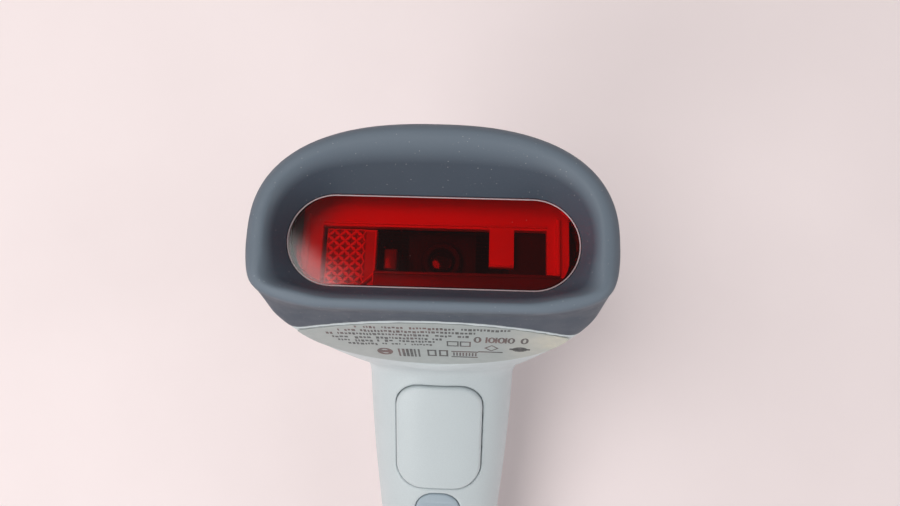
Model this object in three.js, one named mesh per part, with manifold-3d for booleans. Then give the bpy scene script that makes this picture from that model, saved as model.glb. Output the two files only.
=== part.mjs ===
// A corded handheld linear-imaging barcode scanner, in millimetres, +Z up.
// It lies on its back, as on a counter: the scan window faces up, the flat rear of the head and the
// heel of the handle rest on Z = 0, and the handle runs towards -Y. X is the width.
import * as THREE from "three";
import { mergeVertices } from "three/addons/utils/BufferGeometryUtils.js";
import Module from "manifold-3d";

const wasm = await Module();
wasm.setup();

// ---- Driving dimensions ------------------------------------------------------------------------
const HEAD_TILT = 14; // the head's axis leans this far from +Z towards +Y, degrees
const HANDLE_TILT = 15; // the handle's axis rises this far from the floor towards the head, degrees
const HEAD_AT = [0, 70.1, 125.6]; // centre of the nose's front rim
const HANDLE_AT = [0, -85.5, 15.2]; // centre of the handle's end face

const NOSE_SIDES = 52;
const PROUD = 0.4; // the bumper stands this far proud of the housing
const HEAD_LENGTH = 130.5;
const MID = -4.5; // height of the widest line of the head's section, in the head's own frame
const TOP_POWER = 2.42; // superellipse exponents of the section
const BOTTOM_POWER = 3.2;
const WALL = 2.2;
const GAP = 0.3; // play between neighbouring pieces

const LIP = -18; // height of the nose's lower lip
const LABEL_FLARE = 10.8; // the flat underside falls away from the head's axis by this, degrees
const RIM_ROUND = { most: 3.6, lip: 1.4 }; // the rim is rolled less along the lower lip
const BUMPER_DEPTH = 12.5; // the bumper's rear edge at the centre line
const BUMPER_EDGE_RADIUS = 66; // that edge sweeps back in an arc of this radius
const BUMPER_WALL = 2.5;

const WINDOW = { length: 61.6, height: 20, at: -4.3, depth: 8 };

// In the handle's frame: along its axis from the end face, and out towards the trigger.
const TRIGGER = { low: 83.6, high: 117.5, halfWidth: 12.6, corner: 7.5, proud: 1.1, play: 0.7 };
const PIVOT = { along: 110.5, out: 12.6, radius: 1.2 };
const RUNNING_FIT = 0.05;
const GRIP = { low: 22, high: 81, halfWidth: 6.6 };
const BOARD = { halfWidth: 8.6, low: 18.4, high: 117, back: 0, front: 1.6 };
const SWITCH_AT = 92;
const SPRING_AT = 101;
const SOCKET = { halfWidth: 7.6, low: -9.4, high: 4.6, depth: 17.4 };
const PLUG_HOLE = { halfWidth: 6, low: -7.2, high: 1.6, depth: 13.5 };
const HOUSING_SCREWS = [9, 76].flatMap((y) => [-12.3, 12.3].map((x) => [x, y]));
const BOARD_SCREWS = [[0, 27], [0, 77]];
// In the head's frame: the engine's front plate starts this far behind the rim.
const ENGINE = { front: 15.6, back: 44, halfWidth: 29.5, low: -12.6, high: 10.5 };

// ---- Materials ---------------------------------------------------------------------------------
const finish = (color, roughness, metalness = 0) => () =>
  new THREE.MeshStandardMaterial({ color, roughness, metalness });
const shellGrey = finish(0xc3cbce, 0.45);
const bumperGrey = finish(0x474c57, 0.7);
const gripGrey = finish(0x8f9aa3, 0.75);
const windowRed = () =>
  new THREE.MeshStandardMaterial({
    color: 0xb01020,
    roughness: 0.08,
    transparent: true,
    opacity: 0.5,
  });
const black = finish(0x17181a, 0.6);
const chassisGrey = finish(0xb9b9b4, 0.55);
const clear = finish(0xdfe6ea, 0.15);
const boardGreen = finish(0x14563a, 0.5);
const labelWhite = finish(0xe6e6df, 0.6);
const steel = finish(0xa9abad, 0.3, 1);
const gold = finish(0xc9a24a, 0.3, 1);
const amber = finish(0xb5702a, 0.5);
const ledWhite = finish(0xf2efe0, 0.3);

// ---- Solids ------------------------------------------------------------------------------------
// A geometry as a closed solid, and back.
function solidOf(geometry) {
  geometry.deleteAttribute("normal");
  geometry.deleteAttribute("uv");
  const merged = mergeVertices(geometry, 1e-4);
  return new wasm.Manifold(
    new wasm.Mesh({
      numProp: 3,
      vertProperties: merged.attributes.position.array,
      triVerts: new Uint32Array(merged.index.array),
    }),
  );
}

function geometryOf(solid) {
  const { numProp, numVert, vertProperties, triVerts } = solid.getMesh();
  const points = new Float32Array(numVert * 3);
  for (let i = 0; i < numVert; i++)
    points.set(vertProperties.subarray(i * numProp, i * numProp + 3), i * 3);
  return new THREE.BufferGeometry()
    .setAttribute("position", new THREE.BufferAttribute(points, 3))
    .setIndex(new THREE.BufferAttribute(triVerts, 1));
}

// A closed skin over rings of points, each ring in the same order, with a fan over each end.
function loft(rings) {
  const count = rings[0].length;
  const points = rings.flat();
  const middle = (ring) =>
    ring.reduce((sum, p) => sum.add(p), new THREE.Vector3()).divideScalar(count);
  points.push(middle(rings[0]), middle(rings.at(-1)));
  const faces = [];
  for (let i = 0; i < count; i++) {
    const j = (i + 1) % count;
    for (let r = 0; r + 1 < rings.length; r++) {
      const a = r * count;
      const b = a + count;
      faces.push(a + i, a + j, b + j, a + i, b + j, b + i);
    }
    const last = (rings.length - 1) * count;
    faces.push(points.length - 2, j, i, points.length - 1, last + i, last + j);
  }
  const geometry = new THREE.BufferGeometry().setFromPoints(points);
  geometry.setIndex(faces);
  const made = solidOf(geometry);
  if (made.volume() > 0) return made;
  geometry.setIndex(faces.reverse());
  return solidOf(geometry);
}

function box(x0, x1, y0, y1, z0, z1) {
  const geometry = new THREE.BoxGeometry(x1 - x0, y1 - y0, z1 - z0);
  return solidOf(geometry.translate((x0 + x1) / 2, (y0 + y1) / 2, (z0 + z1) / 2));
}

// A cylinder about a line parallel to one axis, from low to high along it.
function cylinder(axis, radius, low, high, at, sides = 24, topRadius = radius) {
  const geometry = new THREE.CylinderGeometry(topRadius, radius, high - low, sides);
  geometry.translate(0, (low + high) / 2, 0);
  if (axis === "x") geometry.rotateZ(-Math.PI / 2);
  if (axis === "z") geometry.rotateX(Math.PI / 2);
  return solidOf(geometry.translate(...at));
}

// A flat shape in x and y, extruded from z0 to z1.
function plate(shape, z0, z1, curveSegments = 8) {
  const options = { depth: z1 - z0, bevelEnabled: false, curveSegments };
  return solidOf(new THREE.ExtrudeGeometry(shape, options).translate(0, 0, z0));
}

function roundedShape(halfX, y0, y1, corner) {
  const shape = new THREE.Shape();
  shape.absarc(halfX - corner, y0 + corner, corner, -Math.PI / 2, 0);
  shape.absarc(halfX - corner, y1 - corner, corner, 0, Math.PI / 2);
  shape.absarc(corner - halfX, y1 - corner, corner, Math.PI / 2, Math.PI);
  shape.absarc(corner - halfX, y0 + corner, corner, Math.PI, Math.PI * 1.5);
  return shape;
}

const stadium = (length, height, y) =>
  roundedShape(length / 2, y - height / 2, y + height / 2, height / 2);

// ---- The two frames ----------------------------------------------------------------------------
// In the head's frame +Z leaves the window, +Y is the scanner's top, and the rim is at z = 0.
// In the handle's frame +Z leaves the trigger, +Y runs up to the head, and the end face is at y = 0.
const root = new THREE.Group();
const head = new THREE.Group();
head.position.set(...HEAD_AT);
head.rotation.x = THREE.MathUtils.degToRad(-HEAD_TILT);
const handle = new THREE.Group();
handle.position.set(...HANDLE_AT);
handle.rotation.x = THREE.MathUtils.degToRad(HANDLE_TILT);
root.add(head, handle);
root.updateMatrixWorld(true);

const place = (solid, matrix) => solid.transform(matrix.elements);
const headToRoot = head.matrixWorld;
const handleToRoot = handle.matrixWorld;
const headToHandle = handleToRoot.clone().invert().multiply(headToRoot);

function part(name, solid, material, group) {
  const mesh = new THREE.Mesh(geometryOf(solid), material());
  mesh.name = name;
  group.add(mesh);
  return mesh;
}

// The value at a place, on straight lines through [place, value] pairs in rising order.
function profile(pairs, at) {
  const next = pairs.findIndex(([where]) => where >= at);
  if (next === 0) return pairs[0][1];
  if (next < 0) return pairs.at(-1)[1];
  const [[a, low], [b, high]] = [pairs[next - 1], pairs[next]];
  return THREE.MathUtils.lerp(low, high, (at - a) / (b - a));
}

// ---- Outer form --------------------------------------------------------------------------------
const RING_SIDES = 36;
const power = (value, exponent) => Math.sign(value) * Math.abs(value) ** exponent;

// The head's section, depth mm behind the rim. Its half width, its top and its keel:
const HEAD_HALF_WIDTHS = [
  [0, 37.6], [20, 37.4], [45, 34.6], [75, 30.6], [105, 27.4], [116, 25.2],
];
const HEAD_TOPS = [[0, 19.9], [30, 20.8], [60, 20.4], [90, 18.2], [105, 16], [116, 13.2]];
const HEAD_KEELS = [[0, -26.7], [60, -26.7], [90, -25.5], [105, -23.5], [116, -21]];
const SHELL_FROM = 24; // depth at which the housing thins to a plain shell
const DOME_FROM = 104; // the rear closes in an elliptical dome from here
const DOME_POWER = 2.6;
// The higher the power, the sharper the corners beside the flat underside.
const CORNER_POWERS = [[0, 10], [12, 13], [24, 45]];
const labelSlope = Math.tan(THREE.MathUtils.degToRad(LABEL_FLARE));

// How far the outline is from the middle of the section, in a given direction.
function sectionReach(angle, depth, inset) {
  const [x, y] = [Math.cos(angle), Math.sin(angle)];
  const n = y > 0 ? TOP_POWER : BOTTOM_POWER;
  const wide = profile(HEAD_HALF_WIDTHS, depth) - inset;
  const rise = profile(HEAD_TOPS, depth) - MID - inset;
  const drop = MID - profile(HEAD_KEELS, depth) - inset;
  const round = ((Math.abs(x) / wide) ** n + (Math.abs(y) / (y > 0 ? rise : drop)) ** n) ** (1 / n);
  const flat = Math.max(0, -y) / (MID - LIP + depth * labelSlope - inset);
  const sharpness = profile(CORNER_POWERS, depth);
  return 1 / (round ** sharpness + flat ** sharpness) ** (1 / sharpness);
}

const turnAngles = (sides) => Array.from({ length: sides }, (_, i) => (2 * Math.PI * (i + 0.5)) / sides);

function headPoint(angle, depth, inset, close = 1) {
  const reach = sectionReach(angle, depth, inset) * close;
  return new THREE.Vector3(reach * Math.cos(angle), MID + reach * Math.sin(angle), -depth);
}

function headRing(depth, inset = 0, sides = RING_SIDES) {
  const past = Math.max(0, (depth - DOME_FROM) / (HEAD_LENGTH - inset - DOME_FROM));
  const close = Math.max(0.02, (1 - past ** DOME_POWER) ** (1 / DOME_POWER));
  return turnAngles(sides).map((angle) => headPoint(angle, depth, inset, close));
}

const HEAD_DEPTHS = [0, 12, 24, 36, 47, 60, 75, 90, 104, 112, 120, 125.5, 129, 130.5];
function headLoft(from, inset = 0, to = HEAD_LENGTH) {
  const end = Math.min(to, HEAD_LENGTH - inset);
  const inner = HEAD_DEPTHS.filter((d) => d > from + 0.5 && d < end - 0.4);
  return loft([from, ...inner, end].map((d) => headRing(d, inset)));
}

// The handle's section at a height above its end face.
const HANDLE_HALF_WIDTHS = [
  [0, 19.8], [10, 19.4], [30, 18.4], [50, 18.3], [65, 19], [85, 21], [110, 22.3], [140, 22.6],
];
const HANDLE_FRONTS = [
  [0, 15.6], [10, 15.4], [35, 16.4], [60, 18], [85, 18.6], [120, 20.4], [140, 21.5],
];
const HANDLE_BACKS = [
  [0, -16.6], [10, -16.6], [25, -16.2], [45, -17.4], [75, -19.6], [105, -20.6], [140, -22],
];
const HANDLE_POWER = 2.5;
function handleRing(y, inset = 0, shrink = 0) {
  const wide = profile(HANDLE_HALF_WIDTHS, y) - inset - shrink;
  const front = profile(HANDLE_FRONTS, y) - inset - shrink;
  const back = profile(HANDLE_BACKS, y) + inset + shrink;
  const middle = (front + back) / 2;
  return turnAngles(RING_SIDES).map((turn) => {
    const x = wide * power(Math.cos(turn), 2 / HANDLE_POWER);
    const z = middle + ((front - back) / 2) * power(Math.sin(turn), 2 / HANDLE_POWER);
    return new THREE.Vector3(x, y, z);
  });
}

const HANDLE_END_ROUND = 1.6;
function handleLoft(inset = 0, to = 128) {
  const rings = inset
    ? [handleRing(inset, inset)]
    : [handleRing(0, 0, HANDLE_END_ROUND), handleRing(0.5, 0, 0.45), handleRing(HANDLE_END_ROUND)];
  for (const y of [10, 30, 45, 60, 72, 85, 98, 112, to]) rings.push(handleRing(y, inset));
  return loft(rings);
}

// Turns a shape drawn in the root's y and z, and extruded along z, to lie across X.
const acrossX = new THREE.Matrix4().set(0, 0, 1, 0, 1, 0, 0, 0, 0, 1, 0, 0, 0, 0, 0, 1);

const FAR = 300;
// Everything under the plane of the head's flat underside, raised by lift.
function underLabelPlane(lift) {
  const slab = new THREE.BoxGeometry(FAR, 40, FAR).translate(0, -20, 0);
  slab.rotateX(THREE.MathUtils.degToRad(-LABEL_FLARE)).translate(0, LIP + lift, 0);
  return solidOf(slab);
}

// What lies in front of the bumper's rear edge, in the head's frame. The edge is an arc in plan.
function noseBlock(edge) {
  const reach = 50;
  const half = Math.asin(reach / BUMPER_EDGE_RADIUS);
  const shape = new THREE.Shape();
  shape.moveTo(-reach, -40);
  shape.lineTo(reach, -40);
  const centre = edge + BUMPER_EDGE_RADIUS;
  shape.absarc(0, centre, BUMPER_EDGE_RADIUS, -Math.PI / 2 + half, -Math.PI / 2 - half, true);
  const geometry = new THREE.ExtrudeGeometry(shape, {
    depth: 100,
    bevelEnabled: false,
    curveSegments: 28,
  });
  return solidOf(geometry.translate(0, 0, -50).rotateX(-Math.PI / 2));
}

// The face where the two housing halves meet, as a prism across X that holds the trigger's side.
// It runs down the head's sides, turns round the junction and follows the handle to its end.
function triggerSide(grow) {
  const inHead = (depth, y) => new THREE.Vector3(0, y + grow, -depth).applyMatrix4(headToRoot);
  const inHandle = (y, z) => new THREE.Vector3(0, y, z - grow).applyMatrix4(handleToRoot);
  const bend = new THREE.QuadraticBezierCurve3(
    inHead(52, -2),
    inHead(88, -2),
    inHandle(98, -1),
  );
  const path = [inHead(-30, -2), ...bend.getPoints(8), inHandle(-20, -1)];
  const shape = new THREE.Shape(path.map((p) => new THREE.Vector2(p.y, p.z)));
  const corner = inHandle(-20, 300);
  shape.lineTo(corner.y, corner.z);
  return place(plate(shape, -60, 60), acrossX);
}

const underFloor = box(-FAR, FAR, -FAR, FAR, -50, 0);

const bodyForm = place(headLoft(0), headToRoot)
  .add(place(handleLoft(), handleToRoot))
  .subtract(underFloor);

// The hollow of the housing: narrow behind the bumper, where the shells have a spigot.
const SPIGOT_WALL = 1.5;
const SPIGOT_PLAY = 0.45;
const spigotInset = BUMPER_WALL + SPIGOT_PLAY;
const noseInset = spigotInset + SPIGOT_WALL;
const hollow = place(headLoft(SHELL_FROM, WALL).add(headLoft(-2, noseInset, 30)), headToRoot)
  .add(place(handleLoft(WALL), handleToRoot))
  .subtract(box(-FAR, FAR, -FAR, FAR, -50, WALL));

const FUNNEL_WALL = 1.8;
const FUNNEL_END = WINDOW.depth + FUNNEL_WALL;
const spigot = headLoft(FUNNEL_END + 2 * GAP, spigotInset, SHELL_FROM);
const housing = bodyForm
  .subtract(place(noseBlock(BUMPER_DEPTH + GAP), headToRoot))
  .add(place(spigot, headToRoot))
  .subtract(hollow);

// ---- Nose: bumper, window, gasket, frame -------------------------------------------------------
// The radius of the rim's roll in a given direction from the middle of the section.
function rimRoll(angle) {
  const down = THREE.MathUtils.smoothstep(-Math.sin(angle), 0.12, 0.38);
  return THREE.MathUtils.lerp(RIM_ROUND.most, RIM_ROUND.lip, down);
}

// The bezel's hollow from the rim down to the window, grown outwards by a wall.
function funnel(grow, from, to) {
  const mouth = stadium(WINDOW.length + 2 * grow, WINDOW.height + 2 * grow, WINDOW.at);
  const outline = mouth.getSpacedPoints(48).slice(0, -1);
  const ring = (depth) => {
    const down = THREE.MathUtils.clamp(depth / WINDOW.depth, 0, 1) ** 0.8;
    return outline.map((p) => {
      const angle = Math.atan2(p.y - MID, p.x);
      const reach = sectionReach(angle, 0, rimRoll(angle) - PROUD - grow);
      const at = new THREE.Vector2(reach * Math.cos(angle), MID + reach * Math.sin(angle));
      at.lerp(p, down);
      return new THREE.Vector3(at.x, at.y, -depth);
    });
  };
  const depths = [from, 2, 4, 6, WINDOW.depth].filter((d) => d === from || d > from);
  return loft([...depths, to].map(ring));
}

// The nose's outer skin, rolled over at the rim.
function noseSkin() {
  const angles = turnAngles(NOSE_SIDES);
  const roll = [90, 60, 30, 0].map((degrees) => {
    const turn = THREE.MathUtils.degToRad(degrees);
    return angles.map((angle) => {
      const radius = rimRoll(angle);
      return headPoint(angle, radius * (1 - Math.sin(turn)), radius * (1 - Math.cos(turn)) - PROUD);
    });
  });
  return loft([...roll, headRing(14, -PROUD, NOSE_SIDES), headRing(30, -PROUD, NOSE_SIDES)]);
}

const skin = noseSkin();
const bumper = skin
  .intersect(noseBlock(BUMPER_DEPTH))
  .subtract(headLoft(5, BUMPER_WALL, 60))
  .add(funnel(FUNNEL_WALL, 0.5, FUNNEL_END).intersect(skin))
  .subtract(funnel(0, -1, 20));
part("nose_bumper", bumper, bumperGrey, head);

const { length, height, at: windowAt, depth: windowDepth } = WINDOW;
const FLANGE = 1.1; // the window's flange and the gasket stand out by this all round
const FLANGE_BELOW = 0.5; // less below, beside the nose's flat underside
const flangeFront = FUNNEL_END + GAP;
const noseBore = headLoft(5, noseInset + SPIGOT_PLAY, 40);
const flangeShape = roundedShape(
  length / 2 + FLANGE,
  windowAt - height / 2 - FLANGE_BELOW,
  windowAt + height / 2 + FLANGE,
  height / 2,
);
const scanWindow = plate(
  stadium(length - 2 * GAP, height - 2 * GAP, windowAt),
  -flangeFront - 0.2,
  -windowDepth,
).add(plate(flangeShape, -flangeFront - 1.5, -flangeFront));
part("scan_window", scanWindow, windowRed, head);

const gasketFront = flangeFront + 1.5 + GAP;
const LIGHT_RAISED = 0.3; // the way in is set this much higher than the window
const lightPath = plate(stadium(length + 0.4, height, windowAt + LIGHT_RAISED), -20, 0);
const gasket = plate(flangeShape, -gasketFront - 1, -gasketFront).subtract(lightPath);
part("window_gasket", gasket, black, head);

const frameFront = gasketFront + 1 + GAP;
const noseFrame = noseBore
  .intersect(box(-FAR, FAR, -FAR, FAR, -frameFront - 2, -frameFront))
  .subtract(lightPath);
part("nose_frame", noseFrame, chassisGrey, head);

// ---- Housing: two shells, with their openings, bosses and recesses ------------------------------
// A shape in the handle's x and y, as a prism along the handle's z.
const handlePrism = (shape, z0 = 0, z1 = 60) => place(plate(shape, z0, z1), handleToRoot);
const inHandle = (solid) => place(solid, handleToRoot);
const inHead = (solid) => place(solid, headToRoot);

const { low, high, halfWidth, corner, proud, play } = TRIGGER;
const triggerOpening = roundedShape(halfWidth + play / 2, low - play, high + play, corner);
const gripShape = (grow) =>
  roundedShape(GRIP.halfWidth + grow, GRIP.low - grow, GRIP.high + grow, GRIP.halfWidth - 1);
const gripRecess = handlePrism(gripShape(GAP)).subtract(inHandle(handleLoft(1.3)));

// The half-moon bed of the label on the flat underside, inset by edge and sunk this deep.
const LABEL_EDGE = 1.4;
const MOON = { centre: 16, halfWidth: 32.6, length: 30.2 };
function labelBed(edge, deep) {
  const moon = new THREE.Shape();
  moon.absellipse(0, MOON.centre, MOON.halfWidth - edge, MOON.length - edge, 0, 2 * Math.PI);
  return plate(moon, -50, 0, 20)
    .rotate([-90, 0, 0])
    .intersect(underLabelPlane(deep))
    .subtract(noseBlock(BUMPER_DEPTH + edge));
}

const plugHole = box(
  -PLUG_HOLE.halfWidth,
  PLUG_HOLE.halfWidth,
  -1,
  PLUG_HOLE.depth,
  PLUG_HOLE.low,
  PLUG_HOLE.high,
);

const LIGHT_PIPE = { at: 49.5, halfLength: 6, halfWidth: 2 };
// A slot across the head's top, where the status light shows.
function lightSlot(grow) {
  const shape = roundedShape(
    LIGHT_PIPE.halfLength + grow,
    LIGHT_PIPE.at - LIGHT_PIPE.halfWidth - grow,
    LIGHT_PIPE.at + LIGHT_PIPE.halfWidth + grow,
    LIGHT_PIPE.halfWidth + grow,
  );
  return plate(shape, 0, 30, 6).rotate([-90, 0, 0]);
}

// Posts and bosses stand on the inside of a shell and stop at their own height.
const insideHandle = inHandle(handleLoft(WALL / 2));
const post = (x, y, radius, z0, z1) =>
  inHandle(cylinder("z", radius, z0, z1, [x, y, 0], 20)).intersect(insideHandle);
const drill = (x, y, radius, z0, z1) => inHandle(cylinder("z", radius, z0, z1, [x, y, 0], 16));
const lug = (side) => {
  const at = halfWidth + play + 1.3;
  const [y0, y1] = [PIVOT.along - 3.5, PIVOT.along + 3.5];
  const block = box(side * at - 1.1, side * at + 1.1, y0, y1, 9.5, 30);
  return inHandle(block).intersect(insideHandle);
};
const pinHole = inHandle(
  cylinder("x", PIVOT.radius + RUNNING_FIT, -15.4, 15.4, [0, PIVOT.along, PIVOT.out], 20),
);

const SEAM = -1; // height of the joint between the shells, in the handle's frame
const SCREW = { headAt: -11.2, headRadius: 2.4, shank: 1.25, end: 8 };

let bottomHousing = housing
  .intersect(triggerSide(0))
  .subtract(handlePrism(triggerOpening))
  .subtract(gripRecess)
  .subtract(inHead(labelBed(LABEL_EDGE, 2 * GAP)))
  .subtract(inHandle(plugHole));
let topHousing = housing
  .subtract(triggerSide(GAP))
  .subtract(inHead(lightSlot(GAP)))
  .subtract(inHandle(plugHole));
for (const [x, y] of HOUSING_SCREWS) {
  bottomHousing = bottomHousing
    .add(post(x, y, 3, SEAM + GAP, 40))
    .subtract(drill(x, y, SCREW.shank + RUNNING_FIT, -10, SCREW.end + 1));
  topHousing = topHousing
    .add(post(x, y, 3.6, -40, SEAM - 2 * GAP))
    .subtract(drill(x, y, SCREW.shank + GAP, -40, 5))
    .subtract(drill(x, y, SCREW.headRadius + GAP, -40, SCREW.headAt));
}
for (const [x, y] of BOARD_SCREWS)
  bottomHousing = bottomHousing
    .add(post(x, y, 2.3, BOARD.front + GAP, 40))
    .subtract(drill(x, y, 0.85, 0, 8));
bottomHousing = bottomHousing.add(lug(-1)).add(lug(1)).subtract(pinHole);
part("top_housing", topHousing, shellGrey, root);
part("bottom_housing", bottomHousing, shellGrey, root);

const lightPipe = lightSlot(0)
  .intersect(headLoft(30, 0))
  .subtract(headLoft(24, WALL).translate([0, 0.5, 0]))
  .add(box(-1.5, 1.5, 9, 19.2, -LIGHT_PIPE.at - 1.2, -LIGHT_PIPE.at + 1.2));
part("status_light_pipe", lightPipe, clear, head);

const label = labelBed(LABEL_EDGE + GAP, GAP).subtract(underLabelPlane(0));
part("label", label, labelWhite, head);

const handleSkin = (out, under, shape) =>
  plate(shape, 0, 60).intersect(handleLoft(-out)).subtract(handleLoft(under));
part("grip_insert", handleSkin(0.2, 1, gripShape(0)), gripGrey, handle);

// ---- Trigger -----------------------------------------------------------------------------------
const ear = (side) => {
  const at = side * (halfWidth - 1.7);
  const block = box(at - 1.2, at + 1.2, PIVOT.along - 2.6, PIVOT.along + 2.6, 9.8, 18.6);
  const bore = cylinder("x", PIVOT.radius + RUNNING_FIT, -30, 30, [0, PIVOT.along, PIVOT.out], 20);
  return block.subtract(bore);
};
const pressPost = cylinder("z", 1.7, 9.3, 18.6, [0, SWITCH_AT, 0], 16);
const trigger = handleSkin(proud, 2, roundedShape(halfWidth, low, high, corner))
  .add(ear(-1))
  .add(ear(1))
  .add(pressPost);
part("trigger", trigger, shellGrey, handle);

const pin = cylinder("x", PIVOT.radius, -14.9, 14.9, [0, PIVOT.along, PIVOT.out], 20);
part("trigger_pin", pin, steel, handle);

class Helix extends THREE.Curve {
  constructor(radius, from, to, turns) {
    super();
    Object.assign(this, { radius, from, to, turns });
  }
  getPoint(t, target = new THREE.Vector3()) {
    const turn = 2 * Math.PI * this.turns * t;
    const rise = THREE.MathUtils.lerp(this.from, this.to, t);
    return target.set(this.radius * Math.cos(turn), SPRING_AT + this.radius * Math.sin(turn), rise);
  }
}
function wire(curve, radius, steps, sides = 3) {
  const round = new THREE.Shape().absarc(0, 0, radius, 0, 2 * Math.PI);
  const options = { steps, extrudePath: curve, curveSegments: sides, bevelEnabled: false };
  return solidOf(new THREE.ExtrudeGeometry(round, options));
}
const spring = wire(new Helix(2.6, BOARD.front + 0.8, 16.4, 5), 0.35, 60);
part("trigger_spring", spring, steel, handle);

const switchBody = box(-3.1, 3.1, SWITCH_AT - 3.1, SWITCH_AT + 3.1, BOARD.front + GAP, 6.9).subtract(
  cylinder("z", 1.75, 2.8, 8, [0, SWITCH_AT, 0], 16),
);
part("trigger_switch", switchBody, black, handle);
const plunger = cylinder("z", 1.65, 4.7, 9, [0, SWITCH_AT, 0], 16);
part("switch_plunger", plunger, amber, handle);

// ---- Handle: board, socket, fasteners ----------------------------------------------------------
const board = box(-BOARD.halfWidth, BOARD.halfWidth, BOARD.low, BOARD.high, BOARD.back, BOARD.front);
const boardHoles = BOARD_SCREWS.map(([x, y]) => cylinder("z", 1.2, -2, 4, [x, y, 0], 16));
part("main_board", boardHoles.reduce((a, b) => a.subtract(b), board), boardGreen, handle);
part("decoder_chip", box(-5, 5, 48, 58, BOARD.front + GAP, BOARD.front + 1.6), black, handle);
part("memory_chip", box(-3, 3, 63, 68.4, BOARD.front + GAP, BOARD.front + 1.3), black, handle);
const beeper = cylinder("z", 5.2, -6.4, BOARD.back - GAP, [0, 62, 0], 24).subtract(
  cylinder("z", 1, -7, -4.5, [0, 62, 0], 12),
);
part("beeper", beeper, black, handle);

const socketShell = box(
  -SOCKET.halfWidth,
  SOCKET.halfWidth,
  WALL + GAP,
  SOCKET.depth,
  SOCKET.low,
  SOCKET.high,
);
part("cable_socket", socketShell.subtract(plugHole), black, handle);
const CONTACTS = 8;
const contactComb = Array.from({ length: CONTACTS }, (_, i) => (i - (CONTACTS - 1) / 2) * 1.27)
  .map((x) => box(x - 0.25, x + 0.25, 4.5, 12.6, PLUG_HOLE.high - 0.9, PLUG_HOLE.high - 0.5))
  .reduce(
    (all, blade) => all.add(blade),
    box(-5.2, 5.2, 12, 13.2, PLUG_HOLE.high - 1.8, PLUG_HOLE.high - 0.3),
  );
part("socket_contacts", contactComb, gold, handle);

// A profile of [radius, height] pairs, from the lowest up, turned about z.
function turned(pairs, sides) {
  const profilePoints = pairs.map(([r, z]) => new THREE.Vector2(r, z));
  return solidOf(new THREE.LatheGeometry(profilePoints, sides).rotateX(Math.PI / 2));
}

// A pan-head screw, its head on the side of low z.
function screw(headRadius, headHeight, shank, length, at) {
  const profilePairs = [
    [0, -headHeight],
    [headRadius * 0.7, -headHeight],
    [headRadius, -headHeight * 0.5],
    [headRadius, 0],
    [shank, 0],
    [shank, length - shank * 0.6],
    [shank * 0.4, length],
    [0, length],
  ];
  const slot = headRadius * 0.6;
  const cross = box(-slot, slot, -0.3, 0.3, -9, -headHeight * 0.45).add(
    box(-0.3, 0.3, -slot, slot, -9, -headHeight * 0.45),
  );
  return turned(profilePairs, 12).subtract(cross).translate(at);
}
HOUSING_SCREWS.forEach(([x, y], i) => {
  const at = [x, y, SCREW.headAt - GAP];
  const made = screw(SCREW.headRadius, 1.8, SCREW.shank, SCREW.end - SCREW.headAt, at);
  part(`housing_screw_${i + 1}`, made, steel, handle);
});
BOARD_SCREWS.forEach(([x, y], i) => {
  part(`board_screw_${i + 1}`, screw(1.9, 1.2, 0.8, 7, [x, y, BOARD.back - GAP]), steel, handle);
});

// ---- Engine, in the head's frame ---------------------------------------------------------------
const { front, back } = ENGINE;
const face = (shape, z0, z1) => plate(shape, -z1, -z0);
const slab = (x0, x1, y0, y1, z0, z1) => box(x0, x1, y0, y1, -z1, -z0);
const faceShape = (inset) =>
  roundedShape(ENGINE.halfWidth - inset, ENGINE.low + inset, ENGINE.high - inset, 7 - inset);
const CHASSIS_WALL = 2;
// Openings of the front plate: left for the lit lens, middle for the receiving lens, right.
const chassis = face(faceShape(0), front, back)
  .subtract(face(faceShape(CHASSIS_WALL), front + CHASSIS_WALL, back + 1))
  .subtract(slab(-25, 12, -9.3, 1, front - 1, front + 3))
  .subtract(slab(-25, -13.4, -13, -9, front - 1, front + 3))
  .subtract(slab(17.4, 24.6, -9.3, 1, front - 1, front + 3))
  .subtract(slab(11.5, 18, -9.3, -7.5, front - 1, front + 3))
  .subtract(slab(-13.5, 60, -60, -11.4, front - 1, front + CHASSIS_WALL))
  .subtract(slab(-60, 60, -60, -10.5, front + CHASSIS_WALL, back + 1));
const ENGINE_SCREWS = [[-25.5, 4], [25.5, 4]];
const bosses = ENGINE_SCREWS.map(([x, y]) => cylinder("z", 2.4, -back, 8 - back, [x, y, 0], 16));
const chassisHoles = ENGINE_SCREWS.map(([x, y]) =>
  cylinder("z", 0.85, -back - 1, 7 - back, [x, y, 0], 12),
);
const bossed = bosses.reduce(
  (a, b) => a.add(b.intersect(face(faceShape(1), front, back))),
  chassis,
);
part("engine_chassis", chassisHoles.reduce((a, b) => a.subtract(b), bossed), chassisGrey, head);

part("illumination_lens", slab(-24.4, -13.7, -12.2, 0.6, front + 0.3, front + 2.8), clear, head);
part("illumination_board", slab(-23.4, -13.4, -10.4, 0.8, 24, 25.2), boardGreen, head);
for (const [i, y] of [-2, -7.5].entries())
  part(`illumination_led_${i + 1}`, slab(-20, -17, y - 1.5, y + 1.5, 22.4, 23.7), ledWhite, head);
part("aiming_lens", slab(-13.2, -8.1, -8.1, -2.8, 19, 24), clear, head);

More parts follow.
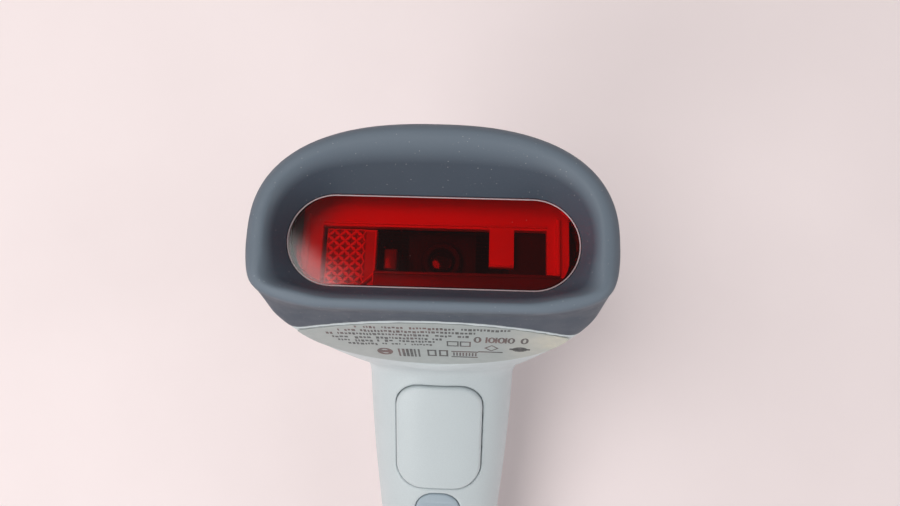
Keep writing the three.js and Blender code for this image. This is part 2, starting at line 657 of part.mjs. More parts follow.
const LENS = { x: 1.2, y: -4.2 };
const lensAt = [LENS.x, LENS.y, 0];
const holder = slab(LENS.x - 8, LENS.x + 8, LENS.y - 6, LENS.y + 7, 27, 37).subtract(
  cylinder("z", 4.8, -40, -20, lensAt, 32),
);
part("lens_holder", holder, black, head);
const barrel = cylinder("z", 4.6, -39, -25, lensAt, 32)
  .subtract(cylinder("z", 2.4, -50, -20, lensAt, 24))
  .subtract(cylinder("z", 3.2, -27, -20, lensAt, 24))
  .subtract(cylinder("z", 3.2, -50, -36, lensAt, 24));
part("lens_barrel", barrel, black, head);
const lensProfile = [[0, -0.9], [2.9, -0.9], [2.9, 0], [2, 0.45], [1, 0.8], [0, 0.9]];
const objective = turned(lensProfile, 24).translate([LENS.x, LENS.y, -25.9]);
part("objective_lens", objective, clear, head);

const sensorBack = back + GAP + 1.4;
const sensorBoard = slab(-28, 28, -11.8, 8.6, back + GAP, sensorBack);
const sensorHoles = ENGINE_SCREWS.map(([x, y]) => cylinder("z", 1.1, -60, -40, [x, y, 0], 16));
part("sensor_board", sensorHoles.reduce((a, b) => a.subtract(b), sensorBoard), boardGreen, head);
part("line_sensor", slab(-16, 16, -6.6, -0.6, back - 2, back), black, head);
ENGINE_SCREWS.forEach(([x, y], i) => {
  const at = [x, y, -sensorBack - GAP];
  part(`engine_screw_${i + 1}`, screw(1.9, 1.2, 0.8, 6, at), steel, head);
});
part("status_led", slab(-1.4, 1.4, 5, 7.4, sensorBack + GAP, sensorBack + 1.6), ledWhite, head);
part("sensor_connector", slab(-6, 6, -5, -1, sensorBack + GAP, sensorBack + 2.6), black, head);
part("board_connector", box(-6, 6, 109, 113, -2.9, BOARD.back - GAP), black, handle);

// The flat cable between the two boards, a thin band swept across the head.
const cableEnds = {
  from: new THREE.Vector3(0, -3, -sensorBack - 2.9),
  to: new THREE.Vector3(0, 111, -3.2),
};
const cablePath = new THREE.CubicBezierCurve3(
  cableEnds.from.clone().applyMatrix4(headToRoot),
  cableEnds.from.clone().add(new THREE.Vector3(0, 0, -18)).applyMatrix4(headToRoot),
  cableEnds.to.clone().add(new THREE.Vector3(0, 4, -14)).applyMatrix4(handleToRoot),
  cableEnds.to.clone().applyMatrix4(handleToRoot),
);
const CABLE_THICK = 0.25;
const cableSide = (sign) =>
  cablePath.getSpacedPoints(20).map((p, i) => {
    const along = cablePath.getTangentAt(i / 20);
    const off = (sign * CABLE_THICK) / 2;
    return new THREE.Vector2(p.y - off * along.z, p.z + off * along.y);
  });
const band = new THREE.Shape([...cableSide(1), ...cableSide(-1).reverse()]);
part("ribbon_cable", place(plate(band, -5, 5), acrossX), amber, root);

export default root;
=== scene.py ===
"""The looks of a corded handheld barcode scanner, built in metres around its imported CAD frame.

The shells, bumper, trigger and grip are signed distance fields of the CAD's driving dimensions,
meshed with softened edges and a filleted junction. Fields are in millimetres, in the CAD's frames.
"""
import functools
import math
import random

import bmesh
import bpy
import numpy as np
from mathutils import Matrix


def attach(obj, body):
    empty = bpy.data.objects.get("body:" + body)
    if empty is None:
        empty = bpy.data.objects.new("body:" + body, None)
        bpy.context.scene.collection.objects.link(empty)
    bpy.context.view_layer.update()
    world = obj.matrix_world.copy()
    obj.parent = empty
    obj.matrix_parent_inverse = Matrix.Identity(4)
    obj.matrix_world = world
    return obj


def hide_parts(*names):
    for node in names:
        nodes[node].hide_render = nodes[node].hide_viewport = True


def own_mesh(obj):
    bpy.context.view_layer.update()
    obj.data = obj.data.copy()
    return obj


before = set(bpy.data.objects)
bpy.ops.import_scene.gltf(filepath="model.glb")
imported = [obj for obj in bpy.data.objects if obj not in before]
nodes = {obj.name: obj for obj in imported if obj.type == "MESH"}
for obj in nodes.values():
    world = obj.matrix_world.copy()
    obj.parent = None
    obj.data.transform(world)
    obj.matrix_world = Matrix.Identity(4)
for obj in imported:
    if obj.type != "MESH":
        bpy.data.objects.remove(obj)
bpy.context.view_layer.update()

import openvdb
from mathutils import Euler, Matrix, Vector

MM = 0.001

# ---- Driving dimensions, as in the CAD, in millimetres and degrees -----------------------------
HEAD_TILT = 14
HANDLE_TILT = 15
HEAD_AT = (0, 70.1, 125.6)
HANDLE_AT = (0, -85.5, 15.2)

MID = -4.5  # height of the widest line of the head's section
TOP_POWER, BOTTOM_POWER = 2.42, 3.2  # the exponents of the head's superellipse
LIP = -18  # the nose's lower lip
LABEL_FLARE = 10.8
HEAD_LENGTH, DOME_FROM, DOME_POWER = 130.5, 104, 2.6
HEAD_HALF_WIDTHS = ((0, 37.6), (20, 37.4), (45, 34.6), (75, 30.6), (105, 27.4), (116, 25.2))
HEAD_TOPS = ((0, 19.9), (30, 20.8), (60, 20.4), (90, 18.2), (105, 16), (116, 13.2))
HEAD_KEELS = ((0, -26.7), (60, -26.7), (90, -25.5), (105, -23.5), (116, -21))
CORNER_POWERS = ((0, 10), (12, 13), (24, 45))

HANDLE_HALF_WIDTHS = (
    (0, 19.8), (10, 19.4), (30, 18.4), (50, 18.3), (65, 19), (85, 21), (110, 22.3), (140, 22.6)
)
HANDLE_FRONTS = ((0, 15.6), (10, 15.4), (35, 16.4), (60, 18), (85, 18.6), (120, 20.4), (140, 21.5))
HANDLE_BACKS = (
    (0, -16.6), (10, -16.6), (25, -16.2), (45, -17.4), (75, -19.6), (105, -20.6), (140, -22)
)
HANDLE_POWER = 2.5
HANDLE_TOP = 128
END_ROUND = 1.6

WALL, GAP, PROUD = 2.2, 0.3, 0.4
BUMPER_DEPTH, BUMPER_ARC, BUMPER_WALL = 12.5, 66, 2.5
SPIGOT_FROM, SPIGOT_TO, SPIGOT_INSET, SPIGOT_WALL, SPIGOT_ROOT = 10.4, 24, 2.95, 1.5, 6
WINDOW_HALF_LENGTH, WINDOW_HALF_HEIGHT, WINDOW_Y, WINDOW_DEPTH = 30.8, 10, -4.3, 8

TRIGGER_LOW, TRIGGER_HIGH, TRIGGER_HALF, TRIGGER_CORNER = 83.6, 117.5, 12.6, 7.5
TRIGGER_PROUD, TRIGGER_PLAY = 1.1, 0.7
OPENING_HALF = TRIGGER_HALF + TRIGGER_PLAY / 2
PIVOT_ALONG, PIVOT_OUT, PIVOT_RADIUS, RUNNING_FIT = 110.5, 12.6, 1.2, 0.05
SWITCH_AT, SPRING_AT = 92, 101
GRIP_LOW, GRIP_HIGH, GRIP_HALF, GRIP_CORNER, GRIP_DEEP = 22, 81, 6.6, 5.6, 1
PLUG_HALF, PLUG_LOW, PLUG_HIGH, PLUG_DEPTH = 6, -7.2, 1.6, 13.5
SCREW_X, SCREW_YS, SCREW_HEAD_AT, SCREW_HEAD_RADIUS = 12.3, (9, 76), -11.2, 2.4
SEAT_RADIUS, BOSS_RADIUS, SCREW_CLEARANCE, SCREW_PILOT = 3.6, 3, 1.5, 1.3
SEAT_TO, BOSS_FROM, CLEARANCE_TO, PILOT_TO = -1.6, -0.7, 5, 9  # heights in the handle's frame
PIN_REACH = 15.4  # the pin's holes end this far from the middle
LUG_HALF_WIDE, LUG_HALF_LONG, LUG_FROM = 1.1, 3.5, 9.5  # the walls that hold the pin
LABEL_EDGE = 1.4
MOON_AT, MOON_HALF, MOON_LENGTH = 16, 32.6, 30.2
PIPE_AT, PIPE_HALF_LENGTH, PIPE_HALF_WIDTH = 49.5, 6, 2
SEAM_IN_HEAD, SEAM_IN_HANDLE = -2, -1  # the seam's height in the head's and handle's frames
SEAM_BEND = (52, 88, 98)  # its bend: two depths in the head, then a place along the handle
ENGINE_FRONT = 15.6

# ---- Dimensions of the looks alone, in millimetres ---------------------------------------------
JUNCTION_FILLET = 2.6
RIM_BOTTOM_POWER = 2.75  # the rim's lower corners are rounder than the head's behind it
RIM_ROUND, LIP_ROUND = 4.6, 1.6  # the rim's roll, which is tighter along the lower lip
LIP_DROP, LIP_REACH = 1.7, 9  # the lower lip stands out this far, fading this far behind the rim
LIP_ROLLS, LIP_FLARES = (0.12, 0.38), (0.3, 0.6)  # from where to where, in sines below level
CREST_WIDE, DISH_POWER = 0.4, 1.2  # the rim's flat crest, and how the bezel curves down from it
FUNNEL_WALL, HOLE_FLARE, FLARE_DEPTH = 1.8, 0.5, 4  # the window's hole widens rearwards
CHIN_Y, CHIN_DEPTH, CHIN_SIZE, CHIN_BLEND = -24.2, 49, (7.5, 3, 4), 3
SNUG = 0.15  # the trigger's and the grip's close gaps
SOFT, FLOOR_SOFT, SCREW_SOFT = 0.5, 0.6, 0.4  # how far cut edges are softened


def frame_matrix(at, tilt):
    return Matrix.Translation(at) @ Matrix.Rotation(math.radians(tilt), 4, "X")


# In the head's frame +Z leaves the window and +Y is the top; in the handle's, +Z leaves the
# trigger and +Y runs up to the head.
HEAD = frame_matrix(HEAD_AT, -HEAD_TILT)
HANDLE = frame_matrix(HANDLE_AT, HANDLE_TILT)
WORLD = Matrix.Identity(4)


# ---- Fields ------------------------------------------------------------------------------------
def profile(pairs, at, soften=5.0):
    """The CAD's straight-line profile with its corners smoothed over that many millimetres."""
    step = 0.5
    where, values = zip(*pairs)
    fine = np.arange(where[0], where[-1] + step, step)
    kernel = np.exp(-0.5 * (np.arange(-3 * soften, 3 * soften + step, step) / soften) ** 2)
    padded = np.pad(np.interp(fine, where, values), len(kernel) // 2, mode="edge")
    return np.interp(at, fine, np.convolve(padded, kernel / kernel.sum(), "valid"))


def common(*fields):
    """What is in all of the fields."""
    return functools.reduce(np.maximum, fields)


def smooth_union(a, b, k):
    h = np.clip(0.5 + 0.5 * (b - a) / k, 0, 1)
    return b + (a - b) * h - k * h * (1 - h)


def smooth_cut(a, b, k):
    """What is in both a and b, with the edge between them softened over k."""
    return -smooth_union(-a, -b, k)


def round_cut(a, b, radius):
    """What is in both a and b, with a quarter round of that radius along their edge."""
    outside = np.hypot(np.maximum(a + radius, 0), np.maximum(b + radius, 0))
    return np.minimum(np.maximum(a, b), -radius) + outside


def rounded_box(u, v, half_u, half_v, corner):
    """Distance to a rounded rectangle about the origin of u and v."""
    du, dv = np.abs(u) - half_u + corner, np.abs(v) - half_v + corner
    outside = np.hypot(np.maximum(du, 0), np.maximum(dv, 0))
    return outside + np.minimum(np.maximum(du, dv), 0) - corner


def patch(x, y, half, low, high, corner):
    """Distance to a rounded rectangle astride x = 0 that runs from low to high in y."""
    return rounded_box(x, y - (low + high) / 2, half, (high - low) / 2, corner)


MERGE = 0.0015  # how far the mesher may merge flat faces, 0 for not at all
MOST = 4.0  # past the skin a gauge is only a sign, so it is kept from overflowing


class Voxels:
    """A box of voxels in one frame, of which it holds the half with x >= 0."""

    def __init__(self, high_x, low, high, step, matrix=WORLD):
        self.step, self.matrix = step, matrix
        self.low = np.array([0, *low], float)
        xs, ys, zs = (
            np.arange(a, b + step, step) for a, b in zip(self.low, [high_x, *high])
        )
        self.x = xs[:, None, None].astype(np.float32)
        self.y = ys[None, :, None].astype(np.float32)
        self.z = zs[None, None, :].astype(np.float32)

    def seen_from(self, matrix):
        """y and z of the voxels in another of the frames; x is the same in them all."""
        m = np.array(matrix.inverted() @ self.matrix)
        y = m[1, 1] * self.y + m[1, 2] * self.z + m[1, 3]
        z = m[2, 1] * self.y + m[2, 2] * self.z + m[2, 3]
        return y.astype(np.float32), z.astype(np.float32)

    def distance(self, gauge):
        """Roughly the distance in millimetres to where a gauge is 1."""
        slopes = np.gradient(gauge, self.step)
        return (gauge - 1) / np.sqrt(sum(s * s for s in slopes) + 1e-8)

    def mesh(self, name, field):
        """The field's surface, mirrored in x, as a smooth mesh object in metres."""
        reach = 3 * self.step
        half = np.clip(field, -reach, reach).astype(np.float32)
        half = np.broadcast_to(half, np.broadcast_shapes(field.shape, self.x.shape))
        grid = openvdb.FloatGrid(reach)
        grid.copyFromArray(np.ascontiguousarray(np.concatenate([half[:0:-1], half])))
        points, triangles, quads = grid.convertToPolygons(isovalue=0, adaptivity=MERGE)
        low = self.low - [(half.shape[0] - 1) * self.step, 0, 0]
        points = points * self.step + low
        to_world = np.array(self.matrix)
        points = points @ to_world[:3, :3].T + to_world[:3, 3]
        made = bpy.data.meshes.new(name)
        made.from_pydata(points * MM, [], triangles.tolist() + quads.tolist())
        made.shade_smooth()
        obj = bpy.data.objects.new(name, made)
        bpy.context.collection.objects.link(obj)
        return obj


def head_gauge(x, y, depth, inset=0.0):
    """1 on the head's skin: its superellipse, flat underside and rear dome."""
    up = y - MID
    bottom_power = np.interp(depth, (5, 15), (RIM_BOTTOM_POWER, BOTTOM_POWER))
    power = np.where(up > 0, TOP_POWER, bottom_power)
    wide = profile(HEAD_HALF_WIDTHS, depth) - inset
    rise = profile(HEAD_TOPS, depth) - MID - inset
    drop = MID - profile(HEAD_KEELS, depth) - inset
    tall = np.where(up > 0, rise, drop)
    rounded = ((x / wide) ** power + (np.abs(up) / tall) ** power) ** (1 / power)
    slope = math.tan(math.radians(LABEL_FLARE))
    flat = np.maximum(0, -up) / (MID - LIP + depth * slope - inset)
    sharpness = profile(CORNER_POWERS, depth, 2)
    rounded, flat = np.minimum(rounded, MOST), np.minimum(flat, MOST)
    section = (rounded**sharpness + flat**sharpness) ** (1 / sharpness)
    past = np.clip((depth - DOME_FROM) / (HEAD_LENGTH - DOME_FROM), 0, MOST)
    return (section**DOME_POWER + past**DOME_POWER) ** (1 / DOME_POWER)


def handle_gauge(x, y, z):
    """1 on the handle's skin, its ends apart."""
    wide = profile(HANDLE_HALF_WIDTHS, y, 8)
    front, back = profile(HANDLE_FRONTS, y, 8), profile(HANDLE_BACKS, y, 8)
    thick = (front - back) / 2
    off = np.abs(z - (front + back) / 2) / thick
    return ((x / wide) ** HANDLE_POWER + off**HANDLE_POWER) ** (1 / HANDLE_POWER)


def nose_edge(x, depth, edge):
    """Distance to the arc of the bumper's rear edge, negative behind it."""
    return np.hypot(x, np.minimum(depth - edge - BUMPER_ARC, 0)) - BUMPER_ARC


def seam_distance(y, z):
    """Distance to the face where the housing's shells meet, negative on the trigger's side."""
    in_head = lambda depth: HEAD @ Vector((0, SEAM_IN_HEAD, -depth))
    in_handle = lambda along: HANDLE @ Vector((0, along, SEAM_IN_HANDLE))
    start, bend, end = in_head(SEAM_BEND[0]), in_head(SEAM_BEND[1]), in_handle(SEAM_BEND[2])
    path = [in_head(-30)]
    for t in np.linspace(0, 1, 25):
        path.append(start * (1 - t) ** 2 + bend * 2 * t * (1 - t) + end * t**2)
    path.append(in_handle(-20))
    nearest, signed = np.full(np.broadcast_shapes(y.shape, z.shape), 1e9), 0
    for a, b in zip(path, path[1:]):
        dy, dz = b.y - a.y, b.z - a.z
        along = np.clip(((y - a.y) * dy + (z - a.z) * dz) / (dy * dy + dz * dz), 0, 1)
        off_y, off_z = y - a.y - along * dy, z - a.z - along * dz
        away = np.hypot(off_y, off_z)
        side = np.sign(dy * off_z - dz * off_y)
        signed = np.where(away < nearest, away * side, signed)
        nearest = np.minimum(nearest, away)
    return signed


# ---- Meshes ------------------------------------------------------------------------------------
def mesh_object(name, mesh):
    obj = bpy.data.objects.new(name, mesh)
    bpy.context.collection.objects.link(obj)
    return obj


def bridge(shape, low, high):
    """Faces between two closed rings of vertices, either of which may be a single point."""
    sides = max(len(low), len(high))
    for i in range(sides):
        j = (i + 1) % sides
        corners = [
            low[i % len(low)], low[j % len(low)], high[j % len(high)], high[i % len(high)]
        ]
        shape.faces.new(list(dict.fromkeys(corners)))


def made_from(shape, name, matrix, smooth=False):
    """An object from a bmesh, which is used up, that is in that frame's millimetres."""
    bmesh.ops.recalc_face_normals(shape, faces=shape.faces)
    shape.transform(Matrix.Scale(MM, 4) @ matrix)
    mesh = bpy.data.meshes.new(name)
    shape.to_mesh(mesh)
    shape.free()
    if smooth:
        mesh.shade_smooth()
    return mesh_object(name, mesh)


def smooth_by_angle(obj, degrees=35):
    obj.data.shade_smooth()
    obj.data.set_sharp_from_angle(angle=math.radians(degrees))


def cut_away(obj, cutter):
    """Subtracts the cutter, which is used up, with the object's modifiers applied after it."""
    cut = obj.modifiers.new("cut", "BOOLEAN")
    cut.operation, cut.solver, cut.object, cut.use_self = "DIFFERENCE", "EXACT", cutter, True
    obj.modifiers.move(len(obj.modifiers) - 1, 0)
    evaluated = obj.evaluated_get(bpy.context.evaluated_depsgraph_get())
    applied = bpy.data.meshes.new_from_object(evaluated)
    obj.modifiers.clear()
    obj.data = applied
    bpy.data.objects.remove(cutter)


def bevelled(node, name, width, segments=2):
    """A copy of a CAD node with its facets merged and its edges rounded."""
    mesh = nodes[node].data.copy()
    mesh.name = name
    shape = bmesh.new()
    shape.from_mesh(mesh)
    bmesh.ops.remove_doubles(shape, verts=shape.verts, dist=1e-6)
    bmesh.ops.dissolve_limit(
        shape, angle_limit=math.radians(1), verts=shape.verts, edges=shape.edges
    )
    shape.to_mesh(mesh)
    shape.free()
    obj = mesh_object(name, mesh)
    rounding = obj.modifiers.new("rounding", "BEVEL")
    rounding.width = width * MM
    rounding.segments = segments
    rounding.limit_method = "ANGLE"
    rounding.angle_limit = math.radians(32)
    rounding.harden_normals = True
    mesh.shade_smooth()
    return obj


def lathe(name, pairs, at, matrix, sides=48):
    """A closed turning about the frame's z from [radius, height] pairs in millimetres."""
    shape = bmesh.new()
    rings = []
    for radius, height in pairs:
        if radius == 0:
            rings.append([shape.verts.new((0, 0, height))])
            continue
        turns = [2 * math.pi * i / sides for i in range(sides)]
        rings.append(
            [shape.verts.new((radius * math.cos(t), radius * math.sin(t), height)) for t in turns]
        )
    for low, high in zip(rings, rings[1:]):
        bridge(shape, low, high)
    bmesh.ops.remove_doubles(shape, verts=shape.verts, dist=1e-4)
    return made_from(shape, name, matrix @ Matrix.Translation(at), smooth=True)


def soft_box(shape, centre, size, edge):
    """Adds a box with rounded edges to a bmesh."""
    made = bmesh.ops.create_cube(shape, size=1)["verts"]
    bmesh.ops.scale(shape, vec=size, verts=made)
    bmesh.ops.translate(shape, vec=centre, verts=made)
    edges = list({e for v in made for e in v.link_edges})
    bmesh.ops.bevel(shape, geom=made + edges, offset=edge, segments=2, profile=0.5, affect="EDGES")


def boxes(name, matrix, parts):
    """One mesh of soft-edged boxes, each (centre, size, edge)."""
    shape = bmesh.new()
    for centre, size, edge in parts:
        soft_box(shape, centre, size, edge)
    return made_from(shape, name, matrix, smooth=True)


# ---- The outer form ----------------------------------------------------------------------------
BODY_VOXEL = 0.45


def body_field(voxels):
    """The whole body's distance, head and handle joined by a fillet, flat on the floor."""
    y, z = voxels.seen_from(HEAD)
    head = voxels.distance(head_gauge(voxels.x, y, -z))
    y, z = voxels.seen_from(HANDLE)
    handle = voxels.distance(handle_gauge(voxels.x, y, z))
    handle = round_cut(handle, np.maximum(-y, y - HANDLE_TOP), END_ROUND)
    body = smooth_union(head, handle, JUNCTION_FILLET)
    body = smooth_union(body, chin(voxels), CHIN_BLEND)
    return smooth_cut(body, -voxels.z, FLOOR_SOFT), head


def chin(voxels):
    """The small swelling under the head's edge, above the handle."""
    y, z = voxels.seen_from(HEAD)
    half_x, half_y, half_z = CHIN_SIZE
    gauge = np.sqrt(
        (voxels.x / half_x) ** 2 + ((y - CHIN_Y) / half_y) ** 2 + ((z + CHIN_DEPTH) / half_z) ** 2
    )
    return (gauge - 1) * half_y


def label_bed(x, y, depth, edge, lift):
    """The half-moon on the flat underside, its border inset by edge, as deep as lift."""
    slope = math.radians(LABEL_FLARE)
    half, length = MOON_HALF - edge, MOON_LENGTH - edge
    across, along = x / half, (depth - MOON_AT) / length
    moon = (np.hypot(across, along) - 1) / (
        np.hypot(across / half, along / length) / (np.hypot(across, along) + 1e-6) + 1e-6
    )
    arc = nose_edge(x, depth, BUMPER_DEPTH + edge)
    above = (y - LIP - lift) * math.cos(slope) + depth * math.sin(slope)
    return np.maximum(round_cut(moon, arc, SOFT), above)


def shell_field(voxels, body, head, depth):
    """Both shells as one: the hollow body behind the bumper, and the spigot that carries it."""
    hollow = smooth_cut(body + WALL, WALL - voxels.z, FLOOR_SOFT)
    hollow = np.maximum(hollow, SPIGOT_TO - depth)
    narrow = np.maximum(head + SPIGOT_INSET + SPIGOT_WALL, depth - SPIGOT_TO - SPIGOT_ROOT)
    hollow = np.minimum(hollow, narrow)
    outer = smooth_cut(body, nose_edge(voxels.x, depth, BUMPER_DEPTH + GAP), SOFT)
    spigot = common(head + SPIGOT_INSET, SPIGOT_FROM - depth, depth - SPIGOT_TO)
    return np.maximum(np.minimum(outer, spigot), -hollow)


def plug_hole(x, y, z):
    return np.maximum(patch(x, z, PLUG_HALF, PLUG_LOW, PLUG_HIGH, 0.8), y - PLUG_DEPTH)


def screw_mountings(top, bottom, x, y, z, inside):
    """The shells with the four housing screws' seats, bosses and bores added."""
    for screw_y in SCREW_YS:
        radial = np.hypot(x - SCREW_X, y - screw_y)
        top = np.minimum(top, common(radial - SEAT_RADIUS, z - SEAT_TO, inside))
        bottom = np.minimum(bottom, common(radial - BOSS_RADIUS, BOSS_FROM - z, inside))
        bore = np.maximum(radial - SCREW_CLEARANCE, z - CLEARANCE_TO)
        well = np.maximum(radial - SCREW_HEAD_RADIUS - GAP, z - SCREW_HEAD_AT)
        top = smooth_cut(top, -np.minimum(bore, well), SCREW_SOFT)
        bottom = smooth_cut(bottom, -np.maximum(radial - SCREW_PILOT, z - PILOT_TO), SCREW_SOFT)
    return top, bottom


def trigger_opening(x, y, z):
    low, high = TRIGGER_LOW - TRIGGER_PLAY, TRIGGER_HIGH + TRIGGER_PLAY
    return np.maximum(patch(x, y, OPENING_HALF, low, high, TRIGGER_CORNER), -z)


def pin_bore(y, z):
    """The hole for the trigger's pin, through whatever it is cut from."""
    return np.hypot(y - PIVOT_ALONG, z - PIVOT_OUT) - PIVOT_RADIUS - RUNNING_FIT


def pivot_lug(x, y, z, inside):
    """The wall beside the trigger that holds its pin."""
    middle = TRIGGER_HALF + TRIGGER_PLAY + LUG_HALF_WIDE + 0.2
    lug = rounded_box(x - middle, y - PIVOT_ALONG, LUG_HALF_WIDE, LUG_HALF_LONG, 0.3)
    return common(lug, LUG_FROM - z, inside)


def grip_recess(x, y, z, body):
    outline = patch(x, y, GRIP_HALF + GAP, GRIP_LOW - GAP, GRIP_HIGH + GAP, GRIP_CORNER + GAP)
    return common(outline, -z, -(body + GRIP_DEEP + GAP))


def housing_fields():
    """The voxels and the two shells' fields."""
    voxels = Voxels(39, (-92, -3), (90, 132), BODY_VOXEL)
    body, head = body_field(voxels)
    inside = body + WALL / 2
    x = voxels.x
    y, z = voxels.seen_from(HANDLE)
    head_y, head_z = voxels.seen_from(HEAD)
    depth = -head_z
    shell = smooth_cut(shell_field(voxels, body, head, depth), -plug_hole(x, y, z), 0.6)
    seam = seam_distance(voxels.y, voxels.z)
    bottom, top = smooth_cut(shell, seam, SOFT), smooth_cut(shell, GAP - seam, SOFT)
    top, bottom = screw_mountings(top, bottom, x, y, z, inside)

    bottom = smooth_cut(bottom, -trigger_opening(x, y, z), 0.4)
    lug = pivot_lug(x, y, z, inside)
    bottom = np.maximum(np.minimum(bottom, lug), -np.maximum(pin_bore(y, z), x - PIN_REACH))
    bottom = smooth_cut(bottom, -grip_recess(x, y, z, body), 0.8)
    bed = label_bed(x, head_y, depth, LABEL_EDGE, 2 * GAP)
    bottom = smooth_cut(bottom, -bed, SOFT)

    half_width = PIPE_HALF_WIDTH + GAP
    slot = rounded_box(x, depth - PIPE_AT, PIPE_HALF_LENGTH + GAP, half_width, half_width)
    top = smooth_cut(top, -np.maximum(slot, -head_y), 0.6)
    return voxels, top, bottom


voxels, top_field, bottom_field = housing_fields()
top_housing = voxels.mesh("top_shell", top_field)
bottom_housing = voxels.mesh("bottom_shell", bottom_field)

# ---- Bumper ------------------------------------------------------------------------------------
BUMPER_VOXEL = 0.36
HOLLOW_FROM = 5  # the rim is solid down to this depth


def eased(value, low, high):
    """0 below low and 1 above high, easing between."""
    t = np.clip((value - low) / (high - low), 0, 1)
    return t * t * (3 - 2 * t)


def bumper_field(voxels):
    """The bumper: a rolled rim round a dished bezel, over a skirt that wraps the head."""
    x, y = voxels.x, voxels.y
    depth = -voxels.z
    skin = voxels.distance(head_gauge(x, y, np.maximum(depth, 0)))
    at_rim = int(np.argmin(np.abs(voxels.z[0, 0, :])))
    downwards = (MID - y) / np.hypot(x, MID - y + 1e-3)
    below = eased(downwards, *LIP_ROLLS)
    roll = RIM_ROUND + (LIP_ROUND - RIM_ROUND) * below
    lip = LIP_DROP * eased(downwards, *LIP_FLARES)
    skin = skin - lip * eased(LIP_REACH - depth, 0, LIP_REACH)
    proud = PROUD * (1 - 0.9 * below)
    outer = round_cut(skin - proud, -depth, roll)

    # The bezel: a dish from the rim's crest down to the window's opening.
    window = rounded_box(x, y - WINDOW_Y, WINDOW_HALF_LENGTH, WINDOW_HALF_HEIGHT, WINDOW_HALF_HEIGHT)
    crest = skin[:, :, at_rim : at_rim + 1] - proud + roll - CREST_WIDE
    across = np.clip(window / np.maximum(window - crest, 1e-3), 0, 1)
    dish = WINDOW_DEPTH * (1 - across) ** DISH_POWER
    dish_slope = np.gradient(dish[:, :, 0], voxels.step)
    lean = np.sqrt(1 + dish_slope[0] ** 2 + dish_slope[1] ** 2)[:, :, None]
    above = (depth - dish) / lean
    flared = window - HOLE_FLARE * np.clip(depth - WINDOW_DEPTH, 0, FLARE_DEPTH)
    void = np.minimum(smooth_cut(above, crest, 1.0), flared)
    funnel = np.maximum(above - FUNNEL_WALL, depth - WINDOW_DEPTH - FUNNEL_WALL)
    inside = np.maximum(skin + BUMPER_WALL, HOLLOW_FROM - depth)
    inside = np.maximum(inside, -np.minimum(funnel, window - FUNNEL_WALL))
    solid = smooth_cut(outer, -void, 0.5 * roll)
    solid = smooth_cut(solid, -inside, SOFT)
    return smooth_cut(solid, -nose_edge(x, depth, BUMPER_DEPTH), SOFT)


nose = Voxels(40, (-25, -26), (23, 2), BUMPER_VOXEL, HEAD)
bumper = nose.mesh("bumper", bumper_field(nose))

# ---- Trigger, grip and status light ------------------------------------------------------------
FINE_VOXEL = 0.3


def handle_skin(voxels):
    return voxels.distance(handle_gauge(voxels.x, voxels.y, voxels.z))


# The trigger behind its face: a flange wider than the opening, the pad, the ears and the post.
FLANGE, PAD_THICK, PAD_BACK = 1.3, 0.9, 18.6
EAR_INSET, EAR_HALF_WIDE, EAR_HALF_LONG, EAR_FROM = 1.7, 1.2, 2.6, 9.8
POST_RADIUS, POST_FROM, PART_BLEND = 1.7, 9.3, 0.8


def trigger_field(voxels):
    """The trigger: its pad, the flange behind the opening, two ears on the pin and a post."""
    x, y, z = voxels.x, voxels.y, voxels.z
    skin = handle_skin(voxels)
    high = TRIGGER_HIGH + TRIGGER_PLAY - SNUG
    outline = patch(x, y, OPENING_HALF - SNUG, TRIGGER_LOW, high, TRIGGER_CORNER)
    under = skin + WALL + GAP  # the shell's inner face, and the play to it
    pad = round_cut(outline, skin - TRIGGER_PROUD, 0.95)
    flange = common(outline - FLANGE, under, y - PIVOT_ALONG + 4)
    pad = np.minimum(pad, np.maximum(flange, -(under + PAD_THICK)))
    pad = smooth_cut(np.maximum(pad, -z), -(under + PAD_THICK), 0.4)
    ear_x = x - TRIGGER_HALF + EAR_INSET
    ear = rounded_box(ear_x, y - PIVOT_ALONG, EAR_HALF_WIDE, EAR_HALF_LONG, 0.5)
    ear = common(ear, EAR_FROM - z, z - PAD_BACK)
    post = common(np.hypot(x, y - SWITCH_AT) - POST_RADIUS, POST_FROM - z, z - PAD_BACK)
    solid = smooth_union(smooth_union(pad, ear, PART_BLEND), post, PART_BLEND)
    return np.maximum(solid, -pin_bore(y, z))


trigger_voxels = Voxels(14, (81, 5), (120, 24), FINE_VOXEL, HANDLE)
trigger = trigger_voxels.mesh("trigger_pad", trigger_field(trigger_voxels))

GRIP_RIBS, GRIP_RIB_HIGH = 2.4, 0.16  # the grip's shallow cross ribs, their pitch and half height


def grip_field(voxels):
    x, y, z = voxels.x, voxels.y, voxels.z
    skin = handle_skin(voxels)
    grow = GAP - SNUG
    outline = patch(
        x, y, GRIP_HALF + grow, GRIP_LOW - grow, GRIP_HIGH + grow, GRIP_CORNER + grow
    )
    ribs = GRIP_RIB_HIGH * np.cos(2 * math.pi * y / GRIP_RIBS) * np.clip(-outline / 1.6 - 0.6, 0, 1)
    pad = round_cut(outline, skin - 0.2 - ribs, 0.6)
    return common(pad, -z, -(skin + GRIP_DEEP))


grip_voxels = Voxels(8, (20.5, 8), (82.5, 21), FINE_VOXEL, HANDLE)
grip = grip_voxels.mesh("grip_pad", grip_field(grip_voxels))


def light_pipe_field(voxels):
    x, y = voxels.x, voxels.y
    depth = -voxels.z
    skin = voxels.distance(head_gauge(x, y, depth))
    outline = rounded_box(
        x, depth - PIPE_AT, PIPE_HALF_LENGTH, PIPE_HALF_WIDTH, PIPE_HALF_WIDTH
    )
    bar = common(round_cut(outline, skin, 0.7), -(skin + WALL), -y)
    stem = rounded_box(x, depth - PIPE_AT, 1.5, 1.2, 0.4)
    return np.minimum(bar, common(stem, 9 - y, y - 19))


